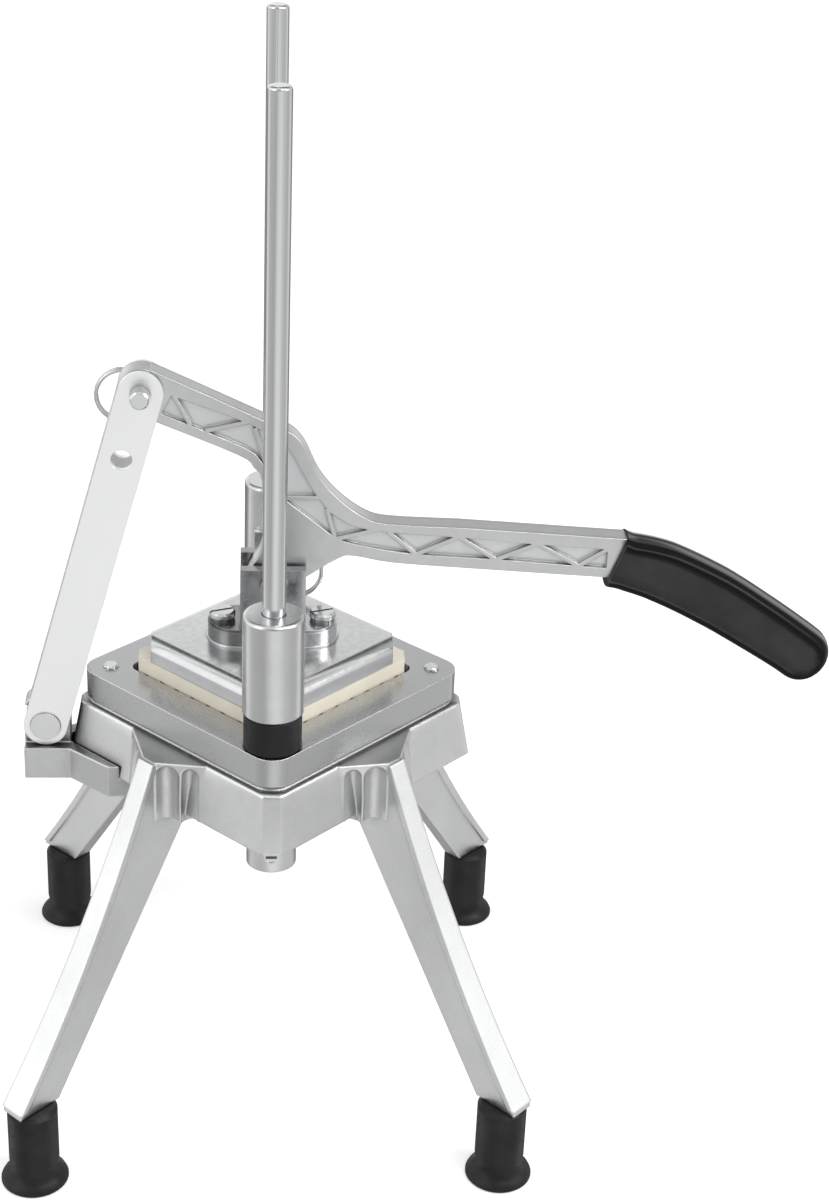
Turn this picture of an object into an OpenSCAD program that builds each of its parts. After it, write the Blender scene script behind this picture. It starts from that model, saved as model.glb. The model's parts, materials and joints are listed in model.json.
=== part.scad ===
// Hand lever french fry cutter: a four-legged cast base with a square blade
// plate, two guide rods, a pusher head and a trussed lever on a two-bar link.
// The origin is on the worktop, at the centre of the four feet. The grip is
// at +X, the link at -X and the guide rods stand at the front and the back.

/* [Blade plate] */
// Side of the square cutting opening
opening_side = 88.9; // [82:0.1:96]
// Width of the border round the opening
plate_border = 15.55; // [15:0.05:19]
// Thickness of the plate
plate_thick = 12.66; // [12:0.02:16]
// Corner radius of the plate
plate_corner_r = 10; // [7:0.5:13]
// Corner radius of the opening
opening_corner_r = 5; // [4:0.5:8]
// Distance from blade to blade, the width of one cut strip
blade_pitch = 9.525; // [8.5:0.025:11]
// Thickness of a blade
blade_thick = 0.8; // [0.6:0.1:1.2]
// Height of a blade
blade_height = 5.5; // [4.5:0.1:5.8]
// Diameter of the two studs that hold the plate
stud_dia = 6.5; // [5:0.1:8]
// Outer diameter of the thumb nuts under the deck
thumb_nut_dia = 15; // [13:0.5:17]

/* [Base casting] */
// Height of the plate seat over the worktop
deck_top = 185.4; // [175:0.1:200]
// Thickness of the deck under the plate
deck_thick = 8; // [6.5:0.5:10]
// Height of the skirt, from its lower edge to the plate seat
skirt_height = 28.4; // [26:0.1:32]
// Wall of the skirt
skirt_wall = 5; // [4:0.25:6]
// How much the skirt spreads from top to bottom on each side
skirt_draft = 3.3; // [2:0.1:4.5]
// Diameter of the two bosses that hold the guide rods
boss_dia = 21; // [18:0.5:22]
// How far the bosses hang below the skirt
boss_drop = 15; // [12:0.5:20]

/* [Legs and feet] */
// Distance from the centre to each foot
foot_reach = 143; // [136:0.5:150]
// Height of a foot, where the leg ends
foot_height = 39.5; // [34:0.5:44]
// Diameter of a foot under the leg
foot_dia = 21.6; // [19:0.2:24]
// Diameter of the suction rim of a foot
foot_rim_dia = 29; // [26:0.5:33]
// Width of a leg at its top
leg_top_w = 8; // [7:0.25:10]
// Width of a leg at its foot
leg_foot_w = 13; // [11.5:0.25:15]
// How much the outer face of a leg curves inward
leg_sag = 4.6; // [3:0.1:7]

/* [Guide rods] */
// Diameter of the guide rods
rod_dia = 9.525; // [8:0.025:10]
// Height of the rods over the plate seat
rod_rise = 286.5; // [260:0.5:300]
// Metal left between a rod and the cutting opening
rod_land = 1.74; // [1.2:0.02:2.6]

/* [Pusher head] */
// Gap between the pusher and the opening's walls
pusher_gap = 0.9; // [0.6:0.05:1.5]
// Height of the pusher over the plate
pusher_rise = 6.44; // [5:0.02:9]
// Gap between a pusher finger and a blade
finger_gap = 0.85; // [0.5:0.05:1.2]
// Height of the cast plateau on the pusher
plateau_height = 9.5; // [8.5:0.1:12]
// Edge rounding of the plateau
plateau_round = 5.5; // [4:0.25:7]
// Distance from the centre to the clipped corners of the plateau
plateau_reach = 52.5; // [50:0.25:53.5]
// Outer diameter of the guide sleeves
sleeve_dia = 25.4; // [23:0.1:27]
// Length of the guide sleeves
sleeve_length = 44; // [38:0.5:50]
// Diameter of the rubber bumpers under the sleeves
bumper_dia = 24.2; // [21:0.1:24.6]
// Height of the rubber bumpers
bumper_height = 16.4; // [15:0.1:18]

/* [Fork] */
// Height of the fork pin over the plate
fork_pin_rise = 44.94; // [43:0.02:50]
// Length of the fork flange
fork_flange_l = 56; // [52:0.5:64]
// Width of the fork flange
fork_flange_w = 26; // [25:0.5:30]
// Thickness of the fork flange
fork_flange_t = 7.3; // [6:0.1:8]
// Width of the fork ears along the lever
fork_ear_w = 28; // [24:0.5:30]
// Thickness of each ear
fork_ear_t = 5; // [4:0.25:5.75]
// Gap between the ears
fork_gap = 13.4; // [11:0.1:14]
// Diameter of the fork pin and both link pins
pin_dia = 8; // [7:0.1:8.6]
// Diameter of the fork screw heads
screw_head_dia = 11.3; // [9:0.1:12.5]

/* [Lever] */
// Thickness of the lever casting
lever_thick = 10; // [9:0.1:10.4]
// Thickness of its recessed web
web_thick = 6; // [4:0.25:7]
// Sideways distance from the fork pin to the link pin
arm_reach = 55.1; // [52:0.1:58]
// Height of the link pin over the fork pin
arm_rise = 85.6; // [82:0.1:90]
// Sideways distance from the fork pin to the grip
handle_reach = 147.9; // [140:0.1:165]
// Height of the grip's start over the fork pin
grip_rise = 10.1; // [8:0.1:12]
// Width of the truss ribs
rib_w = 1.8; // [1.2:0.1:2.6]
// Radius of the lobe round the fork pin
lobe_r = 11; // [9.5:0.1:12]
// Radius of the rounded end at the link pin
arm_end_r = 9.9; // [8.5:0.1:11]

/* [Grip] */
// Length of the grip along its bent centre line
grip_length = 106; // [95:0.5:120]
// Largest height of the grip
grip_h = 27.2; // [24:0.2:30]
// Width of the grip
grip_w = 19; // [16:0.25:22]

/* [Link] */
// Width of the link bars
link_w = 19; // [17:0.25:19.5]
// Thickness of a link bar
link_bar_t = 2.7; // [2:0.1:3.5]
// Gap between the lever and each link bar
link_side_gap = 0.3; // [0.2:0.05:0.6]
// Gap between the link bars' lower end and the base
link_gap = 1.1; // [0.8:0.1:2]
// Distance from the link pin to the spare hole
spare_hole_at = 30.6; // [22:0.2:44]
// Outer diameter of the split rings
ring_dia = 24.8; // [22:0.2:28]
// Diameter of the ring wire
ring_wire = 1.6; // [1.2:0.1:1.8]

/* [Hidden] */
$fn = 64;

// Overrun of every cut past the face that it opens
over = 1;
// Thickness of the slices that a tapered body is stretched over
slice = 0.01;
// Running clearance of a pin or a rod in its hole
run_fit = 0.05;
// Clearance of a piece that is put in place and stays there
seat_fit = 0.1;

// Colours
cast_colour = "#b9bcbd";
plate_colour = "#8f9394";
steel_colour = "#c3c7ca";
dark_steel_colour = "#8b8f92";
rubber_colour = "#1c1c1d";
ivory_colour = "#e9e2c8";
bronze_colour = "#b08d57";

// Plate and opening
opening_half = opening_side / 2;
plate_half = opening_half + plate_border;
plate_top = deck_top + plate_thick;
corner_share = sqrt(2) - 1;
opening_reach = opening_half * sqrt(2) - opening_corner_r * corner_share;
rod_r = rod_dia / 2;
rod_reach = opening_reach + rod_land + rod_r;
stud_r = stud_dia / 2;
stud_land = 6.2;
stud_reach = opening_reach + stud_land + stud_r;
stud_proud = 1.2;
stud_chamfer = 0.6;

// Blades
blade_edge_land = 5;
blades_each_side = floor((opening_half - blade_edge_land) / blade_pitch + 0.5);
blade_tab = 2;
blade_bevel = 1.6;
blade_edge_t = 0.15;
blade_seat_share = 0.05;
lower_blade_z = deck_top + blade_seat_share * plate_thick;
row_gap = 0.05;
upper_blade_z = lower_blade_z + blade_height + row_gap;

// Base
skirt_bottom = deck_top - skirt_height;
land_inset = 1;
land_height = 2.4;
ledge_out = 0.3;
shoulder_out = 2;
shoulder_drop = 1.5;
shoulder_step_out = 1.4;
shoulder_step_drop = 0.5;
skirt_half_top = plate_half + shoulder_out;
skirt_half_bottom = skirt_half_top + skirt_draft;
shoulder_z = deck_top - land_height - shoulder_drop;
skirt_corner_trim = 2;
skirt_corner_r = plate_corner_r - skirt_corner_trim;
skirt_facet = 0.85;
skirt_reach = skirt_half_bottom * sqrt(2) - skirt_corner_r * corner_share - skirt_facet;
chute_gap = 0.3;
chute_round = 1;
chute_corner_r = opening_corner_r + chute_round;
boss_r = boss_dia / 2;
boss_bottom = skirt_bottom - boss_drop;
rod_bottom_land = 2.5;
set_screw_r = 2.3;
set_screw_up = 7.3;
set_screw_length = 5.4;
thumb_nut_h = 8;
thumb_nut_flutes = 14;
stud_below = 12;

// Leg wedges: the deck runs out over the top of each leg, with two flutes on each side
wedge_out = 11.5;
wedge_half = 22.5;
wedge_tip_half = 3;
wedge_root_drop = 0.2;
wedge_tip_drop = 0.3;
wedge_foot_half = 10;
wedge_drop = 4.5;
flute_shares = [0.28, 0.72];
flute_rs = [5.3, 3.9];
flute_out = 1.1;
flute_rim = 0.8;

// Legs
leg_shoulder = 13;
leg_top_drop = 0.6;
leg_lip = 3;
leg_lip_slant = 1.12;
leg_recess = 1;
leg_root_drop = 12;
leg_root_in = 8.3;
leg_toe_drop = 2.4;
foot_flare_h = 12;
foot_rim_h = 1.6;
foot_gap = 0.4;
foot_screw_r = 2.1;
foot_screw_depth = 12;
foot_screw_head_r = 4.5;
foot_screw_head_h = 3;
foot_recess_r = 5;
foot_recess_h = 22;

// Rods
rod_top = deck_top + rod_rise;
rod_chamfer = 1.2;
rod_bottom = boss_bottom + rod_bottom_land;

// Pusher
pusher_half = opening_half - pusher_gap;
pusher_top = plate_top + pusher_rise;
pusher_drop = 1;
pusher_bottom = deck_top - pusher_drop;
pusher_end_gap = 2.8;
pusher_reach = opening_reach - pusher_end_gap;
kerf_w = blade_thick + 2 * finger_gap;
kerf_top = upper_blade_z + blade_height + finger_gap;
bumper_r = bumper_dia / 2;
bumper_relief = 0.5;
bumper_groove = 1.2;
pusher_screw_r = 2;
pusher_screw_head_r = 3.6;
pusher_screw_head_h = 2.2;
pusher_screw_up = 6;

// Head
plateau_inset = 0.5;
plateau_half = pusher_half - plateau_inset;
plateau_draft = 0.5;
plateau_flat = plateau_height - plateau_round;
plateau_top = pusher_top + plateau_height;
pad_h = 1;
pad_grow = 0.5;
fork_seat = plateau_top + pad_h;
sleeve_r = sleeve_dia / 2;
sleeve_stop_gap = 0.2;
sleeve_bottom = plate_top + bumper_height + sleeve_stop_gap;
sleeve_top = sleeve_bottom + sleeve_length;
sleeve_round = 1.7;
bush_wall = 1.8;
bush_inset = 0.4;
bush_lip = 4;
lip_gap = 0.3;
bush_r = rod_r + run_fit + bush_wall;
gusset_w = 17;
gusset_gap = 0.9;
gusset_rise = 24;
gusset_in = 20;

// Fork
fork_z = plate_top + fork_pin_rise;
fork_end_r = fork_flange_w / 2;
fork_end_at = fork_flange_l / 2 - fork_end_r;
fork_screw_share = 0.775;
fork_screw_at = fork_screw_share * fork_flange_l / 2;
fork_chamfer = 0.8;
fork_flange_top = fork_seat + fork_flange_t;
ear_over_share = 0.94;
fork_ear_top = fork_z + ear_over_share * pin_dia;
fork_ear_out = fork_gap / 2 + fork_ear_t;
ear_strip = 3.5;
ear_hollow_share = 0.2;
ear_hollow = ear_hollow_share * fork_ear_t;
fork_screw_r = 3;
fork_screw_down = 8;
screw_head_h = 2.4;
screw_slot_w = 1.3;
screw_slot_d = 1.1;
washer_t = 1.5;
washer_r = 5.2;
pin_r = pin_dia / 2;
pin_head_r = 5.6;
pin_head_t = 2.4;
pin_gap = 0.2;
pin_chamfer = 0.7;
pin_tail = 5.2;

// Split rings
ring_r = (ring_dia - ring_wire) / 2;
ring_wire_r = ring_wire / 2;
ring_turn_gap = 0.5;
ring_pitch = ring_wire + ring_turn_gap;
ring_turns = 2;
ring_steps = 24;
ring_sides = 6;
ring_play = 0.5;
ring_hole_r = ring_pitch / 2 + ring_wire_r + ring_play;
ring_out = 4.3;
ring_start = 70;
// Turns from the wire's start to the middle of the two strands in the pin
ring_mid = (180 - ring_start) / 360 + 1 / 2;
fork_ring_turn = -33;
link_ring_turn = -133;

// Link and lever places, as [x, z]
fork_at = [0, fork_z];
link_top_at = fork_at + [-arm_reach, arm_rise];
bracket_up = 5.6;
bracket_top = skirt_bottom + bracket_up;
link_foot_gap = 0.4;
link_low_at = [-(skirt_reach + link_w / 2 + link_gap), bracket_top + link_foot_gap + link_w / 2];
link_way = link_top_at - link_low_at;
link_length = norm(link_way);
link_lean = atan2(link_way[0], link_way[1]);
link_in = lever_thick / 2 + link_side_gap;
link_out = link_in + link_bar_t;
link_head_r = 6.5;
link_head_t = 1.6;
link_recess = 1;
spare_hole_r = 4.5;
upper_pin_front = 8;

// Bracket
bracket_half_w = 11;
bracket_inset = 0.1;
bracket_left_x = link_low_at[0] - link_w / 2 + bracket_inset;
bracket_drop = 9.2;
bracket_bottom = skirt_bottom - bracket_drop;
lug_half = lever_thick / 2;
lug_up = 12.5;
lug_round = 6;
slot_play = 1.25;
slot_half = pin_r + slot_play;
slot_turn = 160;
arm_wall_gap = 0.1;
bracket_arm_t = 5;
bracket_arm_end = 26.6;
bracket_screw_r = 2.5;
bracket_screw_head_r = 4.6;
bracket_screw_head_h = 3;
bracket_screw_up = 12;
bracket_screw_y = 16;
bracket_screw_x = -62;
bracket_boss_r = 6;
nut_window_r = 11;

// Lever outline: x as shares of the reach on that side, z of the arm's rise
lever_top_shares = [
    [-0.926, 1.110], [-0.40, 0.953], [-0.082, 0.857], [0.042, 0.799], [0.085, 0.720],
    [0.130, 0.558], [0.190, 0.436], [0.264, 0.343], [0.338, 0.311], [0.5355, 0.297]
];
lever_low_shares = [
    [0.5416, 0.078], [0.342, 0.104], [0.2306, 0.139], [0.1866, 0.1227], [0.092, 0.014], [0.074, -0.006]
];
lever_trunk_shares = [
    [-0.1615, 0.083], [-0.087, 0.182], [-0.080, 0.385], [-0.096, 0.554], [-0.154, 0.609],
    [-0.270, 0.675], [-0.909, 0.849], [-1.070, 0.894]
];
pocket_top_shares = [
    [-0.775, 0.981], [-0.243, 0.854], [-0.018, 0.777], [0.034, 0.718], [0.061, 0.648],
    [0.098, 0.526], [0.131, 0.439], [0.162, 0.374], [0.210, 0.315], [0.262, 0.286],
    [0.329, 0.2675], [0.534, 0.244], [0.764, 0.210], [0.970, 0.185]
];
pocket_low_shares = [
    [0.970, 0.081], [0.645, 0.125], [0.414, 0.150], [0.257, 0.193], [0.183, 0.228]
];
pocket_trunk_shares = [
    [0.0, 0.485], [-0.015, 0.526], [-0.033, 0.567], [-0.100, 0.643], [-0.236, 0.718], [-0.851, 0.8855]
];
rib_shares = [
    [[-0.755, 0.981], [-0.630, 0.828]], [[-0.520, 0.800], [-0.205, 0.848]],
    [[-0.150, 0.818], [-0.060, 0.620]], [[0.012, 0.449], [0.135, 0.452]],
    [[0.152, 0.392], [0.177, 0.228]], [[0.180, 0.229], [0.297, 0.282]],
    [[0.329, 0.270], [0.412, 0.148]], [[0.412, 0.148], [0.534, 0.246]],
    [[0.534, 0.246], [0.645, 0.123]], [[0.645, 0.123], [0.764, 0.212]],
    [[0.764, 0.212], [0.888, 0.092]], [[0.888, 0.092], [0.970, 0.185]]
];
smooth_steps = 4;

// Grip: its centre line and height as shares, along a bent path
grip_lean = -20.5;
grip_at = [handle_reach, grip_rise];
grip_end_up = 11.4;
grip_end_down = 8.1;
grip_path_shares = [
    [0, 0], [0.040, -0.012], [0.194, -0.058], [0.407, -0.163], [0.595, -0.279], [0.740, -0.375], [0.812, -0.427]
];
grip_size_shares = [0.94, 0.91, 0.99, 1.0, 0.965, 0.93, 0.92];
grip_cap_steps = 6;
grip_sides = 28;
grip_round = 2.5;
tang_length = 42;
tang_h = 12;
tang_t = 6;

// Points of an arc from p to q that bulges by sag to the left of the way
function arc_between(p, q, sag, steps) =
    let (c = norm(q - p), u = (q - p) / c, n = [-u[1], u[0]])
    let (r = (c * c / 4 + sag * sag) / (2 * sag), half = asin(c / 2 / r))
    [for (k = [0 : steps]) let (t = half * (2 * k / steps - 1))
        (p + q) / 2 + n * (sag - r) + r * (n * cos(t) + u * sin(t))];

// A smooth curve through all the given points
function smooth(pts, steps) = let (last = len(pts) - 1) concat(
    [for (i = [0 : last - 1]) for (k = [0 : steps - 1])
        let (t = k / steps, a = pts[max(i - 1, 0)], b = pts[i], c = pts[i + 1], d = pts[min(i + 2, last)])
        (2 * b + (c - a) * t + (2 * a - 5 * b + 4 * c - d) * t * t + (3 * b - a - 3 * c + d) * t * t * t) / 2],
    [pts[last]]);

function rotated(p, a) = [p[0] * cos(a) - p[1] * sin(a), p[0] * sin(a) + p[1] * cos(a)];

// A share pair of the lever turned into its place beside the fork pin
function lever_pt(s) = [s[0] < 0 ? s[0] * arm_reach : s[0] * handle_reach, s[1] * arm_rise];
function lever_pts(shares) = [for (s = shares) lever_pt(s)];

// The four corners of a strip of width w from p to q
function strip(p, q, w) = let (u = (q - p) / norm(q - p), n = [-u[1], u[0]] * w / 2)
    [p + n, p - n, q - n, q + n];

module rounded_square(half, r) {
    square([2 * half, 2 * (half - r)], center = true);
    square([2 * (half - r), 2 * half], center = true);
    for (x = [-1, 1])
        for (y = [-1, 1])
            translate([x * (half - r), y * (half - r)])
                circle(r);
}

// Draws its child, whose flat shape is given as [x, z], as a plate from y0 to y1
module upright(y0, y1) {
    translate([0, y1, 0])
        rotate([90, 0, 0])
            linear_extrude(y1 - y0)
                children();
}

// Draws its child once for each of the two guide rods
module at_rods() {
    for (side = [-1, 1])
        translate([0, side * rod_reach, 0])
            children();
}

// Draws its child, drawn along +X, under each side of the base
module at_legs() {
    for (k = [0 : 3])
        rotate([0, 0, 45 + 90 * k])
            children();
}

// The skirt seen from above: a rounded square with a narrow facet at each corner
module skirt_plan(half, r) {
    facet_at = half * sqrt(2) - r * corner_share - skirt_facet;
    intersection() {
        rounded_square(half, r);
        rotate(45)
            square(2 * facet_at, center = true);
    }
}

module skirt_slice(half, z, r) {
    translate([0, 0, z])
        linear_extrude(slice)
            skirt_plan(half, r);
}

// Base casting

function leg_outer(inset) = arc_between(
    [skirt_half_top + leg_shoulder - inset, shoulder_z - leg_top_drop],
    [foot_reach + foot_dia / 2 - inset, foot_height + leg_toe_drop], -leg_sag, 16);

module leg_side() {
    polygon(concat(
        [[skirt_half_top - skirt_wall, shoulder_z]],
        leg_outer(0),
        [[foot_reach + foot_dia / 2, foot_height], [foot_reach - foot_dia / 2, foot_height],
         [skirt_half_bottom - leg_root_in, skirt_bottom - leg_root_drop],
         [skirt_half_bottom - skirt_wall, skirt_bottom]]));
}

module leg_lip_side() {
    outer = leg_outer(0);
    inner = leg_outer(leg_lip * leg_lip_slant);
    count = len(inner);
    polygon(concat(outer, [for (k = [1 : count]) inner[count - k]]));
}

module leg_plan(inset) {
    far = foot_reach + foot_rim_dia / 2;
    near = skirt_half_top - skirt_wall;
    polygon([
        [near, -leg_top_w / 2 + inset], [far, -leg_foot_w / 2 + inset],
        [far, leg_foot_w / 2 - inset], [near, leg_top_w / 2 - inset]]);
}

module leg() {
    intersection() {
        upright(-leg_foot_w, leg_foot_w)
            leg_side();
        linear_extrude(deck_top)
            leg_plan(leg_recess);
    }
    intersection() {
        upright(-leg_foot_w, leg_foot_w)
            leg_lip_side();
        linear_extrude(deck_top)
            leg_plan(0);
    }
}

// A wedge seen from above, with its root on the skirt's side
module wedge_plan(root) {
    tip = skirt_half_top + wedge_out;
    polygon([
        [root - skirt_wall / 2, -wedge_half], [root, -wedge_half], [tip, -wedge_tip_half],
        [tip, wedge_tip_half], [root, wedge_half], [root - skirt_wall / 2, wedge_half]]);
}

// Grooves with a round top in both sides of a wedge
module flutes() {
    tip = [skirt_half_top + wedge_out, wedge_tip_half];
    way = [skirt_half_top, wedge_half] - tip;
    out = [-way[1], way[0]] * (-flute_out / norm(way));
    low = skirt_bottom - wedge_drop - over;
    for (side = [-1, 1])
        for (k = [0, 1]) {
            at = tip + way * flute_shares[k] + out;
            top = shoulder_z - flute_rim - flute_rs[k];
            translate([at[0], side * at[1], low]) {
                cylinder(h = top - low, r = flute_rs[k], $fn = 48);
                translate([0, 0, top - low])
                    sphere(flute_rs[k], $fn = 32);
            }
        }
}

module wedge() {
    low = skirt_bottom - wedge_drop;
    high = deck_top - land_height - wedge_root_drop;
    ledge = plate_half + ledge_out;
    tip = skirt_half_top + wedge_out;
    difference() {
        intersection() {
            hull() {
                translate([0, 0, low])
                    linear_extrude(slice)
                        wedge_plan(skirt_half_bottom);
                translate([0, 0, high])
                    linear_extrude(slice)
                        wedge_plan(skirt_half_top);
            }
            upright(-wedge_half - over, wedge_half + over)
                polygon([
                    [skirt_half_bottom - skirt_wall, low], [tip + over, low],
                    [tip, shoulder_z - wedge_tip_drop], [ledge, high],
                    [ledge - shoulder_step_out, high - shoulder_step_out]]);
            rotate([90, 0, 90])
                linear_extrude(tip + over)
                    polygon([
                        [-wedge_half - over, high + over], [-wedge_half - over, skirt_bottom],
                        [-wedge_half, skirt_bottom], [-wedge_foot_half, low], [wedge_foot_half, low],
                        [wedge_half, skirt_bottom], [wedge_half + over, skirt_bottom],
                        [wedge_half + over, high + over]]);
        }
        flutes();
    }
}

module skirt_shell() {
    difference() {
        hull() {
            skirt_slice(skirt_half_bottom, skirt_bottom, skirt_corner_r);
            skirt_slice(skirt_half_top, shoulder_z, skirt_corner_r);
            skirt_slice(plate_half + shoulder_step_out, deck_top - land_height - shoulder_step_drop, skirt_corner_r);
            skirt_slice(plate_half + ledge_out, deck_top - land_height, skirt_corner_r);
        }
        hull() {
            skirt_slice(skirt_half_bottom - skirt_wall + slice, skirt_bottom - over, skirt_corner_r - skirt_wall / 2);
            skirt_slice(skirt_half_top - skirt_wall, deck_top - deck_thick, skirt_corner_r - skirt_wall / 2);
        }
    }
    translate([0, 0, deck_top - land_height])
        linear_extrude(land_height)
            rounded_square(plate_half - land_inset, plate_corner_r);
}

module base_casting() {
    color(cast_colour)
        difference() {
            union() {
                rotate([0, 0, 45])
                    skirt_shell();
                at_rods()
                    translate([0, 0, boss_bottom])
                        cylinder(h = deck_top - deck_thick / 2 - boss_bottom, r = boss_r);
                for (side = [-1, 1])
                    translate([bracket_screw_x, side * bracket_screw_y, skirt_bottom])
                        cylinder(h = deck_top - deck_thick / 2 - skirt_bottom, r = bracket_boss_r);
                at_legs() {
                    leg();
                    wedge();
                }
            }
            rotate([0, 0, 45])
                translate([0, 0, boss_bottom - over])
                    linear_extrude(deck_top - boss_bottom + 2 * over)
                        rounded_square(opening_half + chute_gap, chute_corner_r);
            at_rods()
                translate([0, 0, rod_bottom])
                    cylinder(h = deck_top - rod_bottom + over, r = rod_r + run_fit);
            for (side = [-1, 1]) {
                translate([0, side * (rod_reach + rod_r / 2), boss_bottom + set_screw_up])
                    rotate([-side * 90, 0, 0])
                        cylinder(h = boss_r, r = set_screw_r + run_fit, $fn = 32);
                translate([side * stud_reach, 0, deck_top - deck_thick - over])
                    cylinder(h = deck_thick + 2 * over, r = stud_r + seat_fit, $fn = 32);
                translate([bracket_screw_x, side * bracket_screw_y, skirt_bottom - over])
                    cylinder(h = bracket_screw_up + over, r = bracket_screw_r + run_fit, $fn = 32);
            }
            at_legs()
                translate([foot_reach, 0, foot_height - over])
                    cylinder(h = foot_screw_depth + over, r = foot_screw_r + run_fit, $fn = 32);
        }
}

// Feet

module foot_profile() {
    r = foot_dia / 2;
    rim = foot_rim_dia / 2;
    top = foot_height - foot_gap;
    polygon(concat(
        [[foot_recess_r, 0], [rim - foot_rim_h / 2, 0], [rim, foot_rim_h / 2], [rim, foot_rim_h]],
        arc_between([rim - foot_rim_h / 2, foot_rim_h * 2], [r, foot_flare_h], foot_rim_h, 6),
        [[r, top - foot_rim_h], [r - foot_rim_h, top], [foot_screw_r + seat_fit, top],
         [foot_screw_r + seat_fit, foot_recess_h], [foot_recess_r, foot_recess_h]]));
}

module rubber_feet() {
    color(rubber_colour)
        at_legs()
            translate([foot_reach, 0, 0])
                rotate_extrude($fn = 48)
                    foot_profile();
}

module foot_screws() {
    length = foot_height + foot_screw_depth - foot_recess_h - seat_fit;
    color(steel_colour)
        at_legs()
            translate([foot_reach, 0, foot_recess_h]) {
                cylinder(h = length, r = foot_screw_r, $fn = 32);
                translate([0, 0, -foot_screw_head_h])
                    difference() {
                        cylinder(h = foot_screw_head_h, r = foot_screw_head_r, $fn = 32);
                        translate([-foot_screw_head_r - over, -screw_slot_w / 2, -over])
                            cube([2 * (foot_screw_head_r + over), screw_slot_w, screw_slot_d + over]);
                    }
            }
}

// Guide rods

module guide_rod(side) {
    color(steel_colour)
        translate([0, side * rod_reach, rod_bottom])
            rotate_extrude()
                polygon([
                    [0, 0], [rod_r - rod_chamfer / 2, 0], [rod_r, rod_chamfer / 2],
                    [rod_r, rod_top - rod_bottom - rod_chamfer],
                    [rod_r - rod_chamfer / 3, rod_top - rod_bottom - rod_chamfer / 3],
                    [rod_r - rod_chamfer, rod_top - rod_bottom], [0, rod_top - rod_bottom]]);
}

module guide_rod_front() {
    guide_rod(-1);
}

module guide_rod_back() {
    guide_rod(1);
}

module rod_set_screws() {
    color(dark_steel_colour)
        for (side = [-1, 1])
            translate([0, side * (rod_reach + rod_r + run_fit + seat_fit), boss_bottom + set_screw_up])
                rotate([-side * 90, 0, 0])
                    difference() {
                        cylinder(h = set_screw_length, r = set_screw_r, $fn = 32);
                        translate([-set_screw_r - over, -screw_slot_w / 2, set_screw_length - screw_slot_d])
                            cube([2 * (set_screw_r + over), screw_slot_w, screw_slot_d + over]);
                    }
}

module rod_bumpers() {
    color(rubber_colour)
        at_rods()
            translate([0, 0, plate_top])
                rotate_extrude()
                    polygon([
                        [rod_r + seat_fit, 0], [bumper_r - bumper_groove / 2, 0],
                        [bumper_r, bumper_groove / 2], [bumper_r, bumper_height - bumper_groove],
                        [bumper_r - bumper_groove, bumper_height], [rod_r + seat_fit, bumper_height]]);
}

// Blade plate and blades

module blade_plate() {
    span = opening_half + blade_tab + seat_fit;
    w = blade_thick + 2 * seat_fit;
    color(plate_colour)
        difference() {
            translate([0, 0, deck_top])
                rotate([0, 0, 45])
                    linear_extrude(plate_thick)
                        difference() {
                            rounded_square(plate_half, plate_corner_r);
                            rounded_square(opening_half, opening_corner_r);
                        }
            at_rods()
                translate([0, 0, deck_top - over])
                    cylinder(h = plate_thick + 2 * over, r = rod_r + seat_fit);
            for (side = [-1, 1])
                translate([side * stud_reach, 0, deck_top - over])
                    cylinder(h = plate_thick + 2 * over, r = stud_r + seat_fit, $fn = 32);
            rotate([0, 0, 45])
                for (k = [0.5 : 1 : blades_each_side])
                    for (at = [-k * blade_pitch, k * blade_pitch]) {
                        translate([-span, at - w / 2, deck_top - over])
                            cube([2 * span, w, upper_blade_z + blade_height + seat_fit - deck_top + over]);
                        translate([at - w / 2, -span, deck_top - over])
                            cube([w, 2 * span, lower_blade_z + blade_height + seat_fit - deck_top + over]);
                    }
        }
}

// One blade along X, with its sharp edge up
module blade() {
    span = opening_half + blade_tab;
    rotate([90, 0, 90])
        linear_extrude(2 * span, center = true)
            polygon([
                [-blade_thick / 2, 0], [blade_thick / 2, 0], [blade_thick / 2, blade_height - blade_bevel],
                [blade_edge_t / 2, blade_height], [-blade_edge_t / 2, blade_height],
                [-blade_thick / 2, blade_height - blade_bevel]]);
}

module blade_row() {
    for (k = [0.5 : 1 : blades_each_side])
        for (at = [-k * blade_pitch, k * blade_pitch])
            translate([0, at, 0])
                blade();
}

module upper_blades() {
    color(steel_colour)
        translate([0, 0, upper_blade_z])
            rotate([0, 0, 45])
                blade_row();
}

module lower_blades() {
    color(steel_colour)
        translate([0, 0, lower_blade_z])
            rotate([0, 0, -45])
                blade_row();
}

module plate_studs() {
    bottom = deck_top - deck_thick - stud_below;
    top = plate_top + stud_proud;
    color(steel_colour)
        for (side = [-1, 1])
            translate([side * stud_reach, 0, bottom])
                rotate_extrude($fn = 48)
                    polygon([
                        [0, 0], [stud_r - stud_chamfer, 0], [stud_r, stud_chamfer],
                        [stud_r, top - bottom - stud_chamfer], [stud_r - stud_chamfer, top - bottom],
                        [0, top - bottom]]);
}

module thumb_nuts() {
    r = thumb_nut_dia / 2;
    color(steel_colour)
        for (side = [-1, 1])
            translate([side * stud_reach, 0, deck_top - deck_thick - thumb_nut_h])
                difference() {
                    union() {
                        cylinder(h = thumb_nut_h * 2 / 3, r = r);
                        cylinder(h = thumb_nut_h, r = stud_r * 3 / 2, $fn = 48);
                    }
                    translate([0, 0, -over])
                        cylinder(h = thumb_nut_h + 2 * over, r = stud_r + run_fit, $fn = 32);
                    for (k = [1 : thumb_nut_flutes])
                        rotate([0, 0, 360 * k / thumb_nut_flutes])
                            translate([r + stud_chamfer, 0, -over])
                                cylinder(h = thumb_nut_h + 2 * over, r = 2 * stud_chamfer, $fn = 16);
                }
}

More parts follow.
